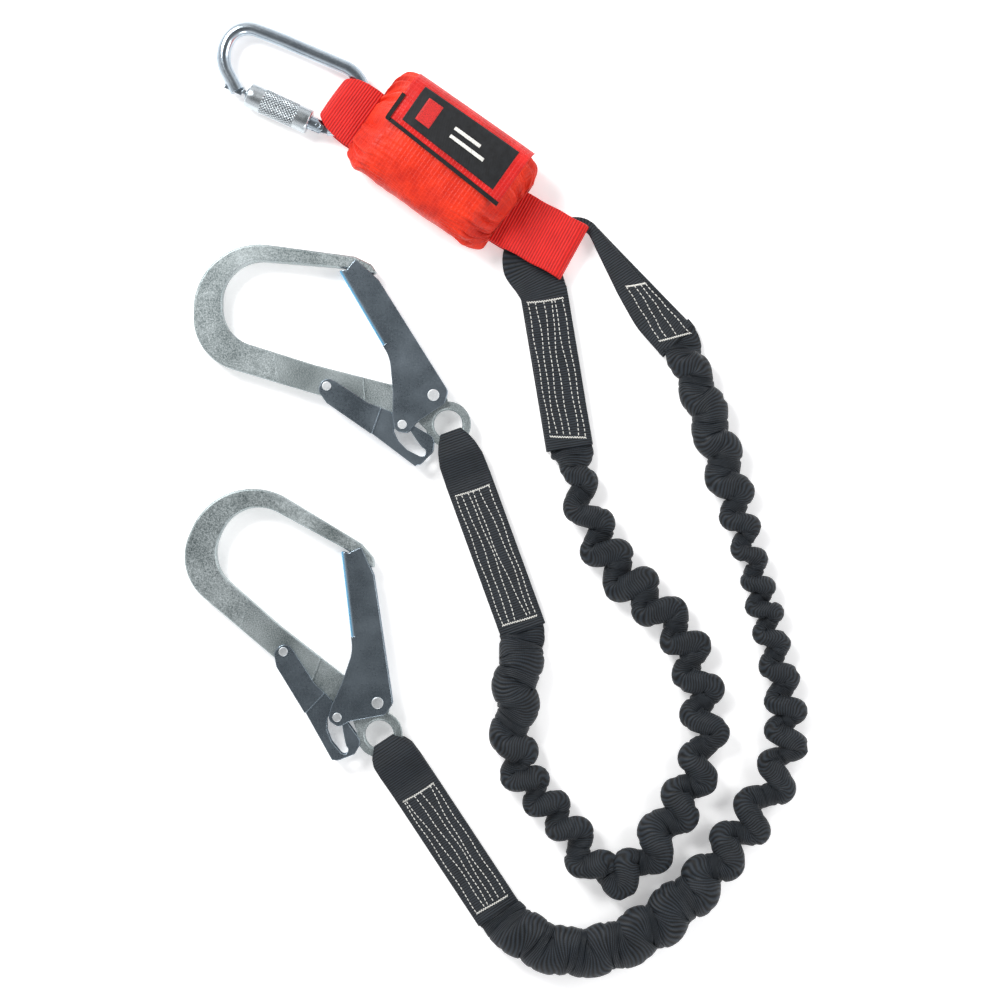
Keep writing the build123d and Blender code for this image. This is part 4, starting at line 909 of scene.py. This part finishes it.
class LANYARD_OT_stage(bpy.types.Operator):
    """Lays the pale floor, sets the soft lights and hangs the camera straight above"""
    bl_idname = "lanyard.stage"
    bl_label = "Stage"

    def execute(self, context):
        corners = np.array([[-1, -1, 0], [1, -1, 0], [1, 1, 0], [-1, 1, 0]], float) * 40.0
        floor = mesh_object("floor", corners, [np.array([[0, 1, 2, 3]])])
        tree, shader = new_material(
            "pale matt floor", Roughness=0.9, Emission_Strength=0.3, Emission_Color=linear("ffffff"))
        spot = node(tree, COORDINATES, out="Object")
        noise = node(tree, NOISE, {"Vector": spot, "Scale": 1 / (333 * MM)}, "Fac")
        wire(tree, shader, Base_Color=node(tree, RAMP, {"Fac": noise}, stops=[(0.0, "fafafa"), (1.0, "ffffff")]))
        floor.data.materials.append(bpy.data.materials["pale matt floor"])
        world = bpy.data.worlds.new("studio")
        world.use_nodes = True
        tree = world.node_tree
        direction = node(tree, COORDINATES, out="Generated")
        height = node(tree, "ShaderNodeSeparateXYZ", {"Vector": direction}, "Z")
        sky = node(tree, RAMP, {"Fac": height}, stops=[
            (0.0, "e7e7e9"), (0.12, "f9f9fb"), (0.5, "f3f3f5"), (0.68, "bbbbbd"), (0.86, "818182"), (1.0, "6f6f70")])
        wire(tree, tree.nodes["Background"], Color=sky)
        context.scene.world = world
        middle = Vector(VIEW_MIDDLE)
        lights = (  # name, offset in metres, power in watts, size in metres
            ("key", (-0.9, 1.0, 1.2), 24, 0.6), ("fill", (1.3, 0.2, 1.0), 9, 0.9), ("rim", (0.1, -1.5, 0.9), 7, 0.6))
        for name, offset, power, size in lights:
            lamp = bpy.data.lights.new(name, "AREA")
            lamp.energy = power
            lamp.size = size
            item = bpy.data.objects.new(name, lamp)
            context.collection.objects.link(item)
            item.location = middle + Vector(offset)
            item.rotation_euler = (-Vector(offset)).to_track_quat("-Z", "Y").to_euler()
        height = context.scene.lanyard_sizes.camera_height
        camera = bpy.data.cameras.new("camera")
        camera.lens = camera.sensor_width * (height - 12 * MM) / VIEW_WIDTH
        item = bpy.data.objects.new("camera", camera)
        context.collection.objects.link(item)
        item.location = middle + Vector((0, 0, height))
        context.scene.camera = item
        context.scene.view_settings.view_transform = "Standard"
        return {"FINISHED"}


class LANYARD_PT_panel(bpy.types.Panel):
    bl_label = "Lanyard"
    bl_idname = "LANYARD_PT_panel"
    bl_space_type = "VIEW_3D"
    bl_region_type = "UI"
    bl_category = "Lanyard"

    def draw(self, context):
        for kind in OPERATORS:
            self.layout.operator(kind.bl_idname)
        for group in (context.scene.lanyard_sizes, context.scene.lanyard_colours):
            for key in group.__annotations__:
                self.layout.prop(group, key)


OPERATORS = (
    LANYARD_OT_stage, LANYARD_OT_elastic_legs, LANYARD_OT_pouch, LANYARD_OT_flap, LANYARD_OT_red_loops,
    LANYARD_OT_absorber_straps, LANYARD_OT_hook_straps, LANYARD_OT_sleeve, LANYARD_OT_metalwork)
CLASSES = (LanyardSizes, LanyardColours) + OPERATORS + (LANYARD_PT_panel,)


def register():
    """Registers the classes and hangs the settings on the scene."""
    for kind in CLASSES:
        bpy.utils.register_class(kind)
    bpy.types.Scene.lanyard_sizes = bpy.props.PointerProperty(type=LanyardSizes)
    bpy.types.Scene.lanyard_colours = bpy.props.PointerProperty(type=LanyardColours)


def unregister():
    """Takes the settings off the scene and unregisters the classes."""
    del bpy.types.Scene.lanyard_colours
    del bpy.types.Scene.lanyard_sizes
    for kind in reversed(CLASSES):
        bpy.utils.unregister_class(kind)


def main():
    """Builds every piece in order."""
    register()
    for kind in OPERATORS:
        group, name = kind.bl_idname.split(".")
        getattr(getattr(bpy.ops, group), name)()


if __name__ == "__main__":
    main()
